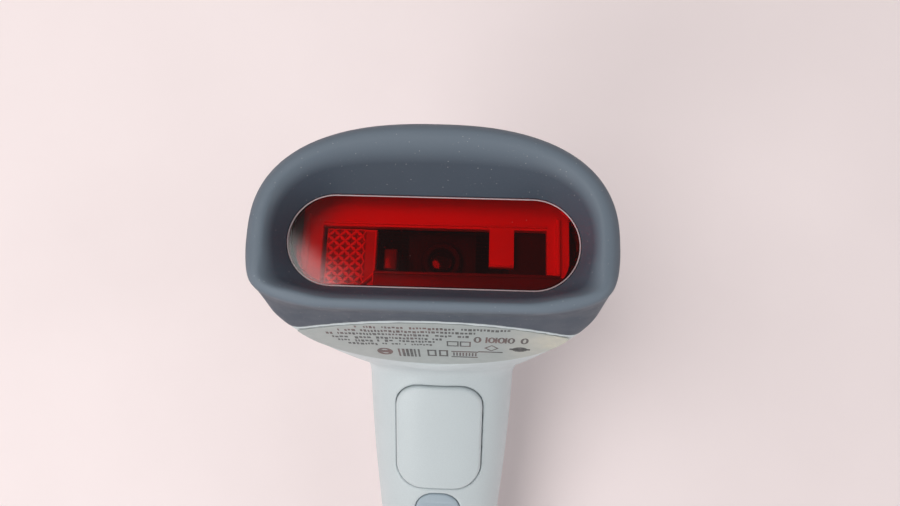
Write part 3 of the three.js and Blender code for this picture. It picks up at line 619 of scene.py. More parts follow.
pipe_voxels = Voxels(7.5, (8, -53), (22.5, -46), FINE_VOXEL, HEAD)
light_pipe = pipe_voxels.mesh("light_pipe", light_pipe_field(pipe_voxels))

# ---- Window ------------------------------------------------------------------------------------
RIM_BEAD = 0.14  # the radius of the pane's edge bead, coloured pale as a painted highlight


def window_outline(count):
    """Points round the window's opening, evenly spaced, and the outward direction at each."""
    straight = WINDOW_HALF_LENGTH - WINDOW_HALF_HEIGHT
    points, outward = [], []
    for i in range(count // 2):
        along = (2 * straight + math.pi * WINDOW_HALF_HEIGHT) * i / (count // 2)
        if along < 2 * straight:
            x, out = straight - along, (0, 1)
        else:
            turned = math.pi / 2 + (along - 2 * straight) / WINDOW_HALF_HEIGHT
            x, out = -straight, (math.cos(turned), math.sin(turned))
        points.append((x + WINDOW_HALF_HEIGHT * out[0], WINDOW_HALF_HEIGHT * out[1]))
        outward.append(out)
    points += [(-x, -y) for x, y in points]
    outward += [(-x, -y) for x, y in outward]
    return [(x, y + WINDOW_Y) for x, y in points], outward


def stadium_plate(name, rings, cap=True):
    """A closed plate in the head's frame, from rings of (inset from the window's opening, height).

    A third number raises that ring. Without cap the last ring joins the first, as in a frame.
    """
    count = 160
    points, outward = window_outline(count)
    shape = bmesh.new()
    loops = []
    for inset, height, *raised in rings:
        up = sum(raised)
        loops.append(
            [
                shape.verts.new((p[0] - inset * o[0], p[1] - inset * o[1] + up, height))
                for p, o in zip(points, outward)
            ]
        )
    pairs = list(zip(loops, loops[1:])) + ([] if cap else [(loops[-1], loops[0])])
    for a, b in pairs:
        bridge(shape, a, b)
    if cap:
        shape.faces.new(loops[0])
        shape.faces.new(loops[-1])
    return made_from(shape, name, HEAD)


PANE_FRONT = -WINDOW_DEPTH
pane_side = [(0.3, 0), (0.15, 0.15), (-0.9, 2.3), (-1.0, 3.3), (-0.8, 3.5)]
pane = stadium_plate("window_pane", [(inset, PANE_FRONT - back) for inset, back in pane_side])
bead_turns = [2 * math.pi * i / 10 for i in range(10)]
rim_bead = stadium_plate(
    "window_edge",
    [(RIM_BEAD * (1.1 + math.cos(t)), PANE_FRONT + RIM_BEAD * math.sin(t)) for t in bead_turns],
    cap=False,
)
rim_bead.data.shade_smooth()
# The gasket and the frame's hole are raised, so that the camera sees the engine past them.
RAISED = 1.5
GASKET_OUTER, GASKET_INNER, GASKET_FRONT, GASKET_BACK = -2.2, -0.2, -11.9, -12.6
gasket = stadium_plate(
    "gasket",
    [
        (GASKET_OUTER, GASKET_FRONT),
        (GASKET_OUTER, GASKET_BACK),
        (GASKET_INNER, GASKET_BACK, RAISED),
        (GASKET_INNER, GASKET_FRONT, RAISED),
    ],
    cap=False,
)
nose_frame = bevelled("nose_frame", "inner_frame", 0.3)
wider = stadium_plate("wider_hole", [(-1.2, -30, RAISED), (-1.2, 0, RAISED)])
cut_away(nose_frame, wider)

# ---- Label -------------------------------------------------------------------------------------
LABEL_THICK, LABEL_SUNK = 0.3, 0.1
# In the label's frame x runs across, z towards the window, and -y out of the underside.
LABEL_PLANE = HEAD @ frame_matrix((0, LIP, 0), -LABEL_FLARE)


def label_outline(inset, steps=56):
    """The half-moon's corners in the label's x and its depth behind the rim along the slope."""
    stretch = 1 / math.cos(math.radians(LABEL_FLARE))
    half = MOON_HALF - LABEL_EDGE - GAP - inset
    length = MOON_LENGTH - LABEL_EDGE - GAP - inset
    front_edge = BUMPER_DEPTH + LABEL_EDGE + GAP + inset

    def front(x):
        return front_edge + BUMPER_ARC - math.sqrt(BUMPER_ARC**2 - x * x)

    moon = lambda x: MOON_AT + length * math.sqrt(max(0, 1 - (x / half) ** 2))
    end = half
    while moon(end) < front(end):
        end -= 0.05
    xs = [end * math.sin(math.pi * (i / steps - 0.5)) for i in range(steps + 1)]
    rear = [(x, moon(x) * stretch) for x in xs]
    return rear + [(x, front(x) * stretch) for x in reversed(xs[1:-1])]


def label_mesh():
    shape = bmesh.new()
    rings = []
    for inset, under in ((0, LABEL_THICK), (0, LABEL_SUNK + 0.06), (0.06, LABEL_SUNK)):
        rings.append([shape.verts.new((x, under, -z)) for x, z in label_outline(inset)])
    for a, b in zip(rings, rings[1:]):
        bridge(shape, a, b)
    shape.faces.new(rings[0])
    shape.faces.new(rings[-1])
    bmesh.ops.triangulate(shape, faces=[f for f in shape.faces if len(f.verts) > 4])
    return made_from(shape, "label_paper", LABEL_PLANE)


PRINT_RISE, PRINT_SUNK = 0.03, 0.01  # the ink stands this far off the label, and into it


class Print:
    """Flat marks of ink on the label, as thin prisms in one mesh."""

    def __init__(self):
        self.shape = bmesh.new()

    def prism(self, corners):
        low = [self.shape.verts.new((x, LABEL_SUNK + PRINT_SUNK, -z)) for x, z in corners]
        high = [self.shape.verts.new((x, LABEL_SUNK - PRINT_RISE, -z)) for x, z in corners]
        bridge(self.shape, low, high)
        self.shape.faces.new(high)
        self.shape.faces.new(low)

    def bar(self, x, z, wide, tall):
        self.prism([(x, z), (x + wide, z), (x + wide, z + tall), (x, z + tall)])

    def frame(self, x, z, wide, tall, across, upright, right):
        """A rectangle's outline: two lines across and two uprights, the second one right of x."""
        for up in (0, tall - across):
            self.bar(x, z + up, wide, across)
        for side in (0, right):
            self.bar(x + side, z, upright, tall)

    def row(self, x, end, z, tall, draw):
        """Dashes with word-like gaps between them."""
        while x < end:
            wide = draw.uniform(0.2, 0.55) * tall
            self.bar(x, z + draw.choice((0, 0, 0.15)) * tall, wide, tall * draw.uniform(0.6, 1))
            x += wide + (draw.uniform(0.7, 1.1) if draw.random() < 0.1 else 0.2) * tall

    def ring(self, x, z, wide, tall, line, sides=24):
        """An outline of an ellipse, or with 4 sides a diamond, in short straight prisms."""
        for i in range(sides):
            a, b = (2 * math.pi * k / sides for k in (i, i + 1))
            inner = (wide / 2 - line, tall / 2 - line)
            outer = (wide / 2, tall / 2)
            self.prism(
                [
                    (x + math.cos(t) * r[0], z + math.sin(t) * r[1])
                    for t, r in ((a, inner), (b, inner), (b, outer), (a, outer))
                ]
            )


# Each row of dashes: where it starts and ends, how far down the label it is, and its height.
PRINT_ROWS = (
    (-17, -6.5, 17, 1.5), (-5, 17, 17, 1.5), (-21, 9.5, 19.4, 1.5), (-24, 8, 21.8, 1.5),
    (-23, -14.5, 24.4, 1.5), (-22, -14, 26.6, 1.5), (-13, 1.5, 24.2, 1.5), (-13, 1, 26.4, 1.5),
    (-20, -13, 29, 1.6), (-12, -1, 28.8, 1.2),
)


def label_print():
    """Meaningless rows of dashes, with a few plain signs, in place of the real label's wording."""
    draw = random.Random(7)
    ink = Print()
    for first, last, z, tall in PRINT_ROWS:
        ink.row(first, last, z, tall, draw)
    # Along the rear edge: a barred ring, a stripe block, two frames and a comb.
    ink.ring(-12, 35.5, 3.8, 5.4, 0.9)
    ink.bar(-13, 34.6, 2, 1.8)
    for i in range(6):
        ink.bar(-8.8 + i * 0.95, 33, draw.choice((0.45, 0.65)), 6.2)
    for x in (-1.8, 1):
        ink.frame(x, 33.2, 2.2, 5, 0.8, 0.45, 1.75)
    for z in (33.6, 38):
        ink.bar(4, z, 6.4, 0.7)
    for i in range(8):
        ink.bar(4.4 + i * 0.75, 34.8, 0.4, 2.6)
    # On the right: two frames, a row of rings and bars, a diamond over a line and a barred dot.
    for x, wide in ((3, 2.4), (6, 2.2)):
        ink.frame(x, 26, wide, 3.8, 0.6, 0.35, wide)
    for i, x in enumerate((10, 13.2, 15.4, 17.6, 20.6)):
        ink.ring(x, 24.4, 1.8, 4.2, 0.55, 8 if i % 2 else 16)
    for i in range(3):
        ink.bar(11.8 + i * 2.2, 22.4, 0.45, 4)
    ink.ring(13.4, 30.4, 3.4, 4.6, 0.5, 4)
    ink.bar(10.4, 33.2, 5.8, 0.7)
    ink.ring(20, 30.8, 3.6, 3.6, 1.5, 12)
    ink.bar(17.6, 30.2, 4.8, 1.1)
    return made_from(ink.shape, "label_print", LABEL_PLANE)


label = label_mesh()
print_marks = label_print()

# ---- Engine ------------------------------------------------------------------------------------
LENS_X, LENS_Y = 1.2, -4.2
KNURL = (-24.1, -15.9, -12.2, 0.5)  # left, right, bottom and top of the knurled patch
LIT_LENS_RIGHT = -13
DIAMOND_WIDE, DIAMOND_TALL = 2.5, 2.3
RIDGE, PYRAMID_DEEP = 0.17, 0.8

chassis = bevelled("engine_chassis", "chassis", 0.3, 3)


def slab(x0, x1, y0, y1, depth0, depth1, edge=0.15):
    """A soft box for boxes(), by its extents in the head's frame and depths behind the rim."""
    centre = ((x0 + x1) / 2, (y0 + y1) / 2, -(depth0 + depth1) / 2)
    return centre, (x1 - x0, y1 - y0, depth1 - depth0), edge


chassis_ribs = boxes(
    "chassis_ribs",
    HEAD,
    [
        slab(26.5, 27.5, -9.3, 3.6, ENGINE_FRONT - 1.0, ENGINE_FRONT + 0.2, 0.3),
        slab(-28.9, -27.9, -9.3, 3.6, ENGINE_FRONT - 0.8, ENGINE_FRONT + 0.2, 0.3),
        slab(-24.9, 24.6, 1.5, 2.0, ENGINE_FRONT - 0.45, ENGINE_FRONT + 0.2, 0.15),
        slab(12.2, 17.2, -7.3, -6.9, ENGINE_FRONT - 0.35, ENGINE_FRONT + 0.2, 0.12),
    ],
)

# Painted shade: dark grey strips cover the chassis's lower bar, which lies in shade under the
# window.
shade_strip = boxes(
    "shade_strip",
    HEAD,
    [
        slab(-13.2, 27.5, -9.8, -9.1, ENGINE_FRONT - 0.6, ENGINE_FRONT + 1.8, 0.15),
        slab(-13.2, 27.9, -12.4, -9.6, ENGINE_FRONT - 0.3, ENGINE_FRONT - 0.05, 0.08),
    ],
)

# Painted shade: a matt black sheet behind the right-hand opening, so that it shows dark.
shade_baffle = boxes("shade_baffle", HEAD, [slab(16.4, 26.8, -9.6, 7.8, ENGINE_FRONT + 2.4, ENGINE_FRONT + 3.2)])


def lit_lens():
    """The lit lens: a clear block whose front is a lattice of ridges round sunk pyramids."""
    left, right, bottom, top = KNURL
    pitch = 0.14
    xs = np.linspace(left, LIT_LENS_RIGHT, int((LIT_LENS_RIGHT - left) / pitch) + 1)
    ys = np.linspace(bottom, top, int((top - bottom) / pitch) + 1)
    x, y = np.meshgrid(xs, ys, indexing="ij")
    u = x / DIAMOND_WIDE + y / DIAMOND_TALL
    v = x / DIAMOND_WIDE - y / DIAMOND_TALL
    off = np.minimum(np.abs(u - np.round(u)), np.abs(v - np.round(v)))
    across = off * DIAMOND_WIDE * math.sin(math.radians(45))
    sunk = np.clip((across - RIDGE) * PYRAMID_DEEP / (0.25 * DIAMOND_WIDE), 0, PYRAMID_DEEP)
    smooth_strip = np.clip((x - right) / 0.3, 0, 1)
    corner_cut = np.clip(((x - LIT_LENS_RIGHT) + (bottom + 3 - y)) / 0.6, 0, 1)
    sunk = sunk * (1 - smooth_strip) + 0.35 * smooth_strip + 1.2 * corner_cut
    edge = np.minimum.reduce([x - left, LIT_LENS_RIGHT - x, y - bottom, top - y])
    sunk += 0.3 * np.clip(1 - edge / 0.3, 0, 1) ** 2
    high = -(ENGINE_FRONT + 0.3) - sunk
    low = -(ENGINE_FRONT + 2.8)
    shape = bmesh.new()
    face = [[shape.verts.new((a, b, h)) for a, b, h in zip(*rows)] for rows in zip(x, y, high)]
    rim = [row[0] for row in face]
    rim += face[-1][1:] + [row[-1] for row in face[-2::-1]] + face[0][-2:0:-1]
    for a, b in zip(face, face[1:]):
        for i in range(len(a) - 1):
            shape.faces.new((a[i], b[i], b[i + 1], a[i + 1]))
    back = [shape.verts.new((v.co.x, v.co.y, low)) for v in rim]
    bridge(shape, rim, back)
    shape.faces.new(back)
    return made_from(shape, "knurled_lens", HEAD)


knurled_lens = lit_lens()
aiming_lens = boxes("aiming_block", HEAD, [slab(-11.6, -8.6, -7.9, -3, 19.2, 23.8, 0.4)])
barrel_profile = [
    (2.4, -36), (3.2, -36), (3.2, -39), (4.3, -39), (4.6, -38.7), (4.6, -31), (4.4, -30.8),
    (4.4, -30.2), (4.6, -30), (4.6, -25.4), (4.2, -25), (3.5, -25), (3.2, -25.2), (3.2, -27),
    (2.4, -27), (2.4, -36),
]
barrel = lathe("barrel", barrel_profile, (LENS_X, LENS_Y, 0), HEAD)
OBJECTIVE_RADIUS, OBJECTIVE_BULGE = 2.9, 0.9
dome_turns = np.linspace(math.pi / 2, 0, 9)[:-1]
dome = [(OBJECTIVE_RADIUS * math.sin(t), OBJECTIVE_BULGE * math.cos(t)) for t in dome_turns]
objective_profile = [(0, -OBJECTIVE_BULGE), (OBJECTIVE_RADIUS, -OBJECTIVE_BULGE), *dome]
objective_profile.append((0, OBJECTIVE_BULGE))
objective = lathe("objective", objective_profile, (LENS_X, LENS_Y, -25.9), HEAD)

# ---- Handle parts ------------------------------------------------------------------------------
plunger_profile = [(0, 4.7), (1.5, 4.7), (1.65, 4.85), (1.65, 8.7), (1.35, 9), (0, 9)]
plunger = lathe("plunger_cap", plunger_profile, (0, SWITCH_AT, 0), HANDLE, 32)
pin_side = [(0, -14.9), (0.9, -14.9), (PIVOT_RADIUS, -14.6)]
pin_profile = pin_side + [(radius, -end) for radius, end in reversed(pin_side)]
across = Matrix.Rotation(math.radians(90), 4, "Y")
pivot = HANDLE @ Matrix.Translation((0, PIVOT_ALONG, PIVOT_OUT)) @ across
pin = lathe("pivot_pin", pin_profile, (0, 0, 0), pivot, 32)

SPRING = {"radius": 2.6, "wire": 0.35, "low": 2.4, "high": 16.4, "turns": 5}


def coil_spring():
    """The trigger's return spring as a tube along a helix, with a closed turn at each end."""
    sides, steps = 8, 220
    shape = bmesh.new()
    rings = []
    for i in range(steps + 1):
        t = i / steps
        along = t - 0.35 * math.sin(4 * math.pi * t) / (4 * math.pi)
        turn = 2 * math.pi * SPRING["turns"] * t
        out = Vector((math.cos(turn), math.sin(turn), 0))
        rise = SPRING["low"] + (SPRING["high"] - SPRING["low"]) * along
        centre = out * SPRING["radius"] + Vector((0, SPRING_AT, rise))
        ring = []
        for k in range(sides):
            a = 2 * math.pi * k / sides
            offset = out * math.cos(a) + Vector((0, 0, 1)) * math.sin(a)
            ring.append(shape.verts.new(centre + offset * SPRING["wire"]))
        rings.append(ring)
    for a, b in zip(rings, rings[1:]):
        bridge(shape, a, b)
    shape.faces.new(rings[0])
    shape.faces.new(rings[-1])
    return made_from(shape, "return_spring", HANDLE, smooth=True)


spring = coil_spring()


def cross_screw(name, head_radius, head_high, shank, length, at, matrix):
    """A pan-head screw with a cross recess and threads, its head on the side of low z."""
    pitch = shank * 0.7
    head = [
        (0, -head_high),
        (head_radius * 0.6, -head_high),
        (head_radius * 0.85, -head_high * 0.8),
        (head_radius, -head_high * 0.4),
        (head_radius, -0.1),
        (head_radius - 0.1, 0),
        (shank, 0),
        (shank, head_high),
    ]
    core = shank * 0.78
    thread = []
    z = head_high
    while z + pitch < length - shank:
        thread += [(core, z + pitch * 0.3), (core, z + pitch * 0.5), (shank, z + pitch)]
        z += pitch
    tip = [(core, length - shank * 0.6), (shank * 0.3, length), (0, length)]
    screw = lathe(name, head + thread + tip, at, matrix, 32)
    blade, deep = head_radius * 0.62, head_high * 0.55
    centre = (at[0], at[1], at[2] - head_high)
    slots = [(2 * blade, 0.5, 2 * deep), (0.5, 2 * blade, 2 * deep)]
    cut_away(screw, boxes(name + "_cross", matrix, [(centre, slot, 0.05) for slot in slots]))
    smooth_by_angle(screw)
    return screw


CASE_SCREW = (SCREW_HEAD_RADIUS, 1.8, 1.25, 19.2)  # head radius and height, shank radius, length
BOARD_SCREW, ENGINE_SCREW = (1.9, 1.2, 0.8, 7), (1.9, 1.2, 0.8, 6)
case_screws_at = [(side * SCREW_X, y, SCREW_HEAD_AT - GAP) for y in SCREW_YS for side in (-1, 1)]
board_screws_at = [(0, y, -GAP) for y in (27, 77)]
engine_screws_at = [(side * 25.5, 4, -46) for side in (-1, 1)]
screws = {}
for node, name, size, places, matrix in (
    ("housing_screw", "case_screw", CASE_SCREW, case_screws_at, HANDLE),
    ("board_screw", "pcb_screw", BOARD_SCREW, board_screws_at, HANDLE),
    ("engine_screw", "bracket_screw", ENGINE_SCREW, engine_screws_at, HEAD),
):
    for i, at in enumerate(places, 1):
        screws[f"{node}_{i}"] = cross_screw(f"{name}_{i}", *size, at, matrix)
for turning in (pin, barrel, plunger):
    smooth_by_angle(turning)

# ---- Materials ---------------------------------------------------------------------------------
def srgb(code):
    """A linear colour from an sRGB code such as 0x8f9aa3."""
    parts = [((code >> shift) & 255) / 255 for shift in (16, 8, 0)]
    return [p / 12.92 if p < 0.04045 else ((p + 0.055) / 1.055) ** 2.4 for p in parts] + [1]


class Surface:
    """A node material under construction, in the object's own metres."""

    def __init__(self, name):
        self.material = bpy.data.materials.new(name)
        self.material.use_nodes = True
        self.tree = self.material.node_tree
        self.tree.nodes.clear()
        self.output = self.add("OutputMaterial")
        self.place = self.add("TexCoord").outputs["Object"]

    def add(self, kind, inputs=None, **settings):
        made = self.tree.nodes.new("ShaderNode" + kind)
        for key, value in settings.items():
            setattr(made, key, value)
        for key, value in (inputs or {}).items():
            if isinstance(value, bpy.types.NodeSocket):
                self.tree.links.new(value, made.inputs[key])
            else:
                made.inputs[key].default_value = value
        return made

    def noise(self, size, detail=3, roughness=0.5, stretch=None):
        """Noise with features about this many millimetres across."""
        at = self.place
        if stretch:
            at = self.add("Mapping", {"Vector": at, "Scale": stretch}).outputs["Vector"]
        inputs = {"Vector": at, "Scale": 1 / (size * MM), "Detail": detail, "Roughness": roughness}
        return self.add("TexNoise", inputs).outputs["Fac"]

    def between(self, value, low, high, to_low=0.0, to_high=1.0):
        inputs = {"Value": value, "From Min": low, "From Max": high}
        inputs.update({"To Min": to_low, "To Max": to_high})
        return self.add("MapRange", inputs, clamp=True).outputs["Result"]

    def drift(self, size, low=0.0, high=1.0, detail=3):
        """A slow wander between two values, over about that many millimetres."""
        return self.between(self.noise(size, detail), 0.3, 0.7, low, high)

    def ahead(self):
        """How far in front of the nose's rim plane a point is, in metres."""
        forward = (HEAD.to_3x3() @ Vector((0, 0, 1))).normalized()
        along = self.add("VectorMath", {0: self.place, 1: forward}, operation="DOT_PRODUCT")
        rim = forward.dot(Vector(HEAD_AT)) * MM
        return self.add("Math", {0: along.outputs["Value"], 1: rim}, operation="SUBTRACT").outputs[0]

    def mix(self, share, a, b):
        """Colour a where share is 0 and b where it is 1."""
        made = self.add("Mix", {"Factor": share}, data_type="RGBA")
        for socket, value in ((made.inputs[6], a), (made.inputs[7], b)):
            if isinstance(value, bpy.types.NodeSocket):
                self.tree.links.new(value, socket)
            else:
                socket.default_value = value
        return made.outputs[2]

    def times(self, a, b):
        return self.add("Math", {0: a, 1: b}, operation="MULTIPLY").outputs[0]

    def specks(self, size, share, cell):
        """Sparse round specks up to size millimetres across, in cells that far apart."""
        inputs = {"Vector": self.place, "Scale": 1 / (cell * MM), "Randomness": 1.0}
        cells = self.add("TexVoronoi", inputs)
        near = self.between(cells.outputs["Distance"], size / cell * 0.35, size / cell * 0.5, 1, 0)
        chosen = self.add("SeparateColor", {"Color": cells.outputs["Color"]}).outputs["Red"]
        return self.times(near, self.between(chosen, 1 - share, 1 - share + 0.02))

    def bump(self, height, depth, strength=1.0, under=None):
        inputs = {"Height": height, "Distance": depth * MM, "Strength": strength}
        if under is not None:
            inputs["Normal"] = under
        return self.add("Bump", inputs).outputs["Normal"]

    def finish(self, shader):
        self.tree.links.new(shader, self.output.inputs["Surface"])
        return self.material

    def principled(self, colour, roughness, **inputs):
        named = {key.replace("_", " "): value for key, value in inputs.items()}
        named.update({"Base Color": colour, "Roughness": roughness})
        return self.finish(self.add("BsdfPrincipled", named).outputs["BSDF"])


def lighter(colour, factor):
    return [min(1, c * factor) for c in colour[:3]] + [1]


def moulded(name, code, roughness, grain, grain_depth, mottle, dust=0.0, crest=None, **shader):
    """A moulded plastic: broad and fine colour drift, spark-eroded grain, edges worn and painted
    with a highlight, and dust.
    """
    s = Surface(name)
    base = srgb(code)
    broad = s.drift(26, detail=2)
    colour = s.mix(broad, lighter(base, 1 - mottle), lighter(base, 1 + mottle))
    fine = s.noise(grain, 2, 0.6)
    colour = s.mix(s.between(fine, 0.35, 0.65), colour, s.mix(0.5, colour, lighter(base, 0.9)))
    # Convex edges are painted lighter: partly wear, partly a painted highlight.
    edge = s.between(s.add("NewGeometry").outputs["Pointiness"], 0.515, 0.56, 0, 0.28)
    colour = s.mix(edge, colour, lighter(base, 1.25))
    if crest:  # the nose's foremost few millimetres, worn pale and painted with a highlight
        colour = s.mix(s.between(s.ahead(), -3.2 * MM, 0.3 * MM), colour, srgb(crest))
    if dust:
        lint = s.specks(0.2, dust, 1.0)
        streaks = s.between(s.noise(0.8, 4, 0.7, (1, 5, 5)), 0.66, 0.74, 0, 0.5)
        colour = s.mix(s.times(lint, 0.45), colour, srgb(0xC9C6C2))
        colour = s.mix(s.times(streaks, dust * 2), colour, srgb(0xB4B0AE))
    rough = s.drift(3.5, roughness - 0.06, roughness + 0.06)
    normal = s.bump(fine, grain_depth)
    return s.principled(colour, rough, Normal=normal, **shader)


def label_stock():
    """Silvered label film with a faint yellow stain towards one end."""
    s = Surface("label_film")
    base = srgb(0x9AA1A0)
    x = s.add("SeparateXYZ", {"Vector": s.place}).outputs["X"]
    stain = s.times(s.between(x, 0.016, 0.028), s.between(s.noise(9), 0.35, 0.6, 0.2, 0.7))
    colour = s.mix(stain, base, srgb(0xD2CBB4))
    colour = s.mix(s.between(s.noise(0.5, 4), 0.4, 0.7, 0, 0.35), colour, srgb(0x9FA3A2))
    rough = s.drift(2.5, 0.34, 0.5)
    return s.principled(colour, rough, Normal=s.bump(s.noise(0.4), 0.006))


def ink():
    s = Surface("ink")
    colour = s.mix(s.between(s.noise(0.5, 4), 0.35, 0.7), srgb(0x343636), srgb(0x646565))
    colour = s.mix(s.between(s.noise(14), 0.5, 0.68, 0, 0.45), colour, srgb(0x8A5A56))
    return s.principled(colour, s.drift(1, 0.5, 0.65))


def circuit_board():
    """Green solder mask over copper tracks, with tinned vias."""
    s = Surface("solder_mask")
    inputs = {"Vector": s.place, "Scale": 210, "Mortar Size": 0.03, "Brick Width": 0.9}
    inputs.update({"Row Height": 0.22, "Bias": 0.1})
    tracks = s.add("TexBrick", inputs, offset=0.37, squash=0.7).outputs["Fac"]
    colour = s.mix(s.drift(7), srgb(0x0E4A30), srgb(0x15603F))
    colour = s.mix(s.times(tracks, 0.55), colour, srgb(0x3C8A4C))
    vias = s.specks(0.75, 0.5, 2.4)
    colour = s.mix(vias, colour, srgb(0xC4BFB0))
    height = s.add("Math", {0: tracks, 1: vias}, operation="ADD").outputs[0]
    rough = s.drift(1.5, 0.28, 0.42)
    return s.principled(colour, rough, Normal=s.bump(height, 0.03))


def metal(name, code, roughness, stretch):
    """Bare or plated metal with drawn scratches."""
    s = Surface(name)
    base = srgb(code)
    lines = s.noise(0.3, 4, 0.7, stretch)
    colour = s.mix(s.drift(4), lighter(base, 0.85), base)
    rough = s.between(lines, 0.3, 0.7, roughness - 0.08, roughness + 0.14)
    return s.principled(colour, rough, Metallic=1.0, Normal=s.bump(lines, 0.008))


def red_window():
    """Red scratch-resistant window: tinted, glossy, with a little dust and a few fine scratches."""
    s = Surface("red_filter")
    tint = s.mix(s.drift(20), (0.98, 0.06, 0.09, 1), (1.0, 0.08, 0.11, 1))
    through = s.add("BsdfTransparent", {"Color": tint}).outputs["BSDF"]
    rough = s.drift(6, 0.07, 0.12, 4)
    scratches = s.noise(0.6, 5, 0.7, (0.3, 3, 3))
    gloss = s.add(
        "BsdfGlossy",
        {"Color": (1, 1, 1, 1), "Roughness": rough, "Normal": s.bump(scratches, 0.001)},
    ).outputs["BSDF"]
    share = s.add("Fresnel", {"IOR": 1.49}).outputs["Fac"]
    pane_surface = s.add("MixShader", {0: share, 1: through, 2: gloss}).outputs["Shader"]
    lint = s.add("BsdfDiffuse", {"Color": srgb(0xD8B4B4)}).outputs["BSDF"]
    dust = s.times(s.specks(0.16, 0.16, 1.5), 0.5)
    return s.finish(s.add("MixShader", {0: dust, 1: pane_surface, 2: lint}).outputs["Shader"])


def clear_plastic(name, code, roughness=0.14, hollow=0.45, flat=0.44, ridge=0.54, coat=0.4):
    """Clear or frosted moulding: pale and glossy, with a painted highlight along its ridges and
    painted shade in its hollows.
    """
    s = Surface(name)
    base = srgb(code)
    curve = s.add("NewGeometry").outputs["Pointiness"]
    # Painted light: convex ridges lighter, hollows darker by the hollow factor.
    colour = s.mix(s.between(curve, flat, ridge), lighter(base, hollow), lighter(base, 1.15))
    colour = s.mix(s.drift(2.5, 0, 0.25), colour, lighter(base, 0.7))
    rough = s.drift(1.2, roughness - 0.04, roughness + 0.08)
    return s.principled(colour, rough, Coat_Weight=coat, Normal=s.bump(s.noise(0.6), 0.004))


def lamp_face():
    """A white LED package: pale case with a yellow phosphor patch showing as mottling."""
    s = Surface("led_package")
    patch = s.specks(1.6, 1.0, 2.2)
    colour = s.mix(s.drift(0.8), srgb(0xF2EFE0), srgb(0xE4DFC8))
    colour = s.mix(s.times(patch, 0.7), colour, srgb(0xE9C84A))
    return s.principled(colour, s.drift(0.6, 0.22, 0.36))


def ribbon():
    """A flat flexible cable: parallel copper conductors in amber film."""
    s = Surface("flat_cable")
    x = s.add("SeparateXYZ", {"Vector": s.place}).outputs["X"]
    pitch = s.add("Math", {0: x, 1: 1 / (1.0 * MM)}, operation="MULTIPLY").outputs[0]
    wave = s.add("Math", {0: pitch}, operation="FRACT").outputs[0]
    lines = s.between(wave, 0.42, 0.5, 0, 1)
    colour = s.mix(lines, srgb(0xB5702A), srgb(0xD89A55))
    colour = s.mix(s.drift(5, 0, 0.3), colour, srgb(0x8A4F18))
    return s.principled(colour, s.drift(2, 0.25, 0.4), Normal=s.bump(lines, 0.02))


# Name, colour, roughness, grain size and depth in millimetres, mottle, dust and crest colour.
SHELL = moulded("shell_plastic", 0xBCC4C7, 0.42, 0.32, 0.01, 0.03, 0.05, Coat_Weight=0.08)
# The bumper's crest colour is a paler grey: wear, and a painted highlight along the rim's crest.
RUBBER = moulded(
    "bumper_rubber", 0x414A56, 0.52, 0.25, 0.014, 0.09, 0.4, 0x6E7984, Specular_IOR_Level=0.3
)
GRIP = moulded("grip_rubber", 0x9CAAB4, 0.62, 0.25, 0.014, 0.06, 0.1, Sheen_Weight=0.2)
BLACK = moulded("black_plastic", 0x1B1C1F, 0.5, 0.3, 0.012, 0.1)
MATT_BLACK = moulded("matt_black_plastic", 0x0F0F11, 0.75, 0.3, 0.012, 0.1)
CHASSIS = moulded("chassis_plastic", 0xEDECE8, 0.42, 0.4, 0.008, 0.04)
# A dark grey that paints the shade on the chassis's lower bar.
SHADE_STRIP = moulded("shade_strip_plastic", 0x545454, 0.4, 0.3, 0.008, 0.12)
AMBER = moulded("amber_plastic", 0xB5702A, 0.35, 0.3, 0.006, 0.1)
# The pane's edge bead in a pale colour: a painted highlight along the window's edge.
EDGE_HIGHLIGHT = moulded("window_edge_highlight", 0xB9A5A8, 0.3, 0.4, 0.004, 0.12)
LABEL, INK = label_stock(), ink()
BOARD = circuit_board()
STEEL = metal("steel", 0xB4B6B8, 0.28, (1, 1, 9))
GOLD = metal("gold_plate", 0xD9B45A, 0.24, (1, 9, 1))
WINDOW_RED = red_window()
# The knurled lens: deep painted shade in its hollows and a painted highlight on its ridges.
KNURLED = clear_plastic("knurled_plastic", 0xFFFFFF, 0.1, 0.3, 0.49, 0.52)
CLEAR = clear_plastic("clear_plastic", 0xD5DDE2)
LENS_GLASS = clear_plastic("lens_glass", 0x0D0F12, 0.1, coat=0)
# A dark clear plastic for the aiming block, so that it shows dimmer than the lit lens.
DARK_CLEAR = clear_plastic("dark_clear_plastic", 0x585254, 0.35)
LED, RIBBON = lamp_face(), ribbon()


# ---- Every piece's body, CAD nodes and material ------------------------------------------------
def dress(piece, material, slot, *stands_for, body="housing"):
    piece.data.materials.clear()
    piece.data.materials.append(material)
    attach(piece, body)
    if stands_for:
        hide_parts(*stands_for)


dress(top_housing, SHELL, "shell", "top_housing")
dress(bottom_housing, SHELL, "shell", "bottom_housing")
dress(bumper, RUBBER, "bumper", "nose_bumper")
dress(trigger, SHELL, "shell", "trigger", body="trigger")
dress(grip, GRIP, "grip", "grip_insert")
dress(light_pipe, CLEAR, "clear", "status_light_pipe")
dress(pane, WINDOW_RED, "window", "scan_window")
dress(rim_bead, EDGE_HIGHLIGHT, "window")
dress(gasket, BLACK, "black_plastic", "window_gasket")
dress(nose_frame, CHASSIS, "chassis", "nose_frame")
dress(label, LABEL, "label", "label")
dress(print_marks, INK, "label")
dress(chassis, CHASSIS, "chassis", "engine_chassis")
dress(chassis_ribs, CHASSIS, "chassis")
dress(shade_strip, SHADE_STRIP, "black_plastic")
dress(shade_baffle, MATT_BLACK, "black_plastic")
dress(knurled_lens, KNURLED, "clear", "illumination_lens")
dress(aiming_lens, DARK_CLEAR, "clear", "aiming_lens")
dress(barrel, MATT_BLACK, "black_plastic", "lens_barrel")
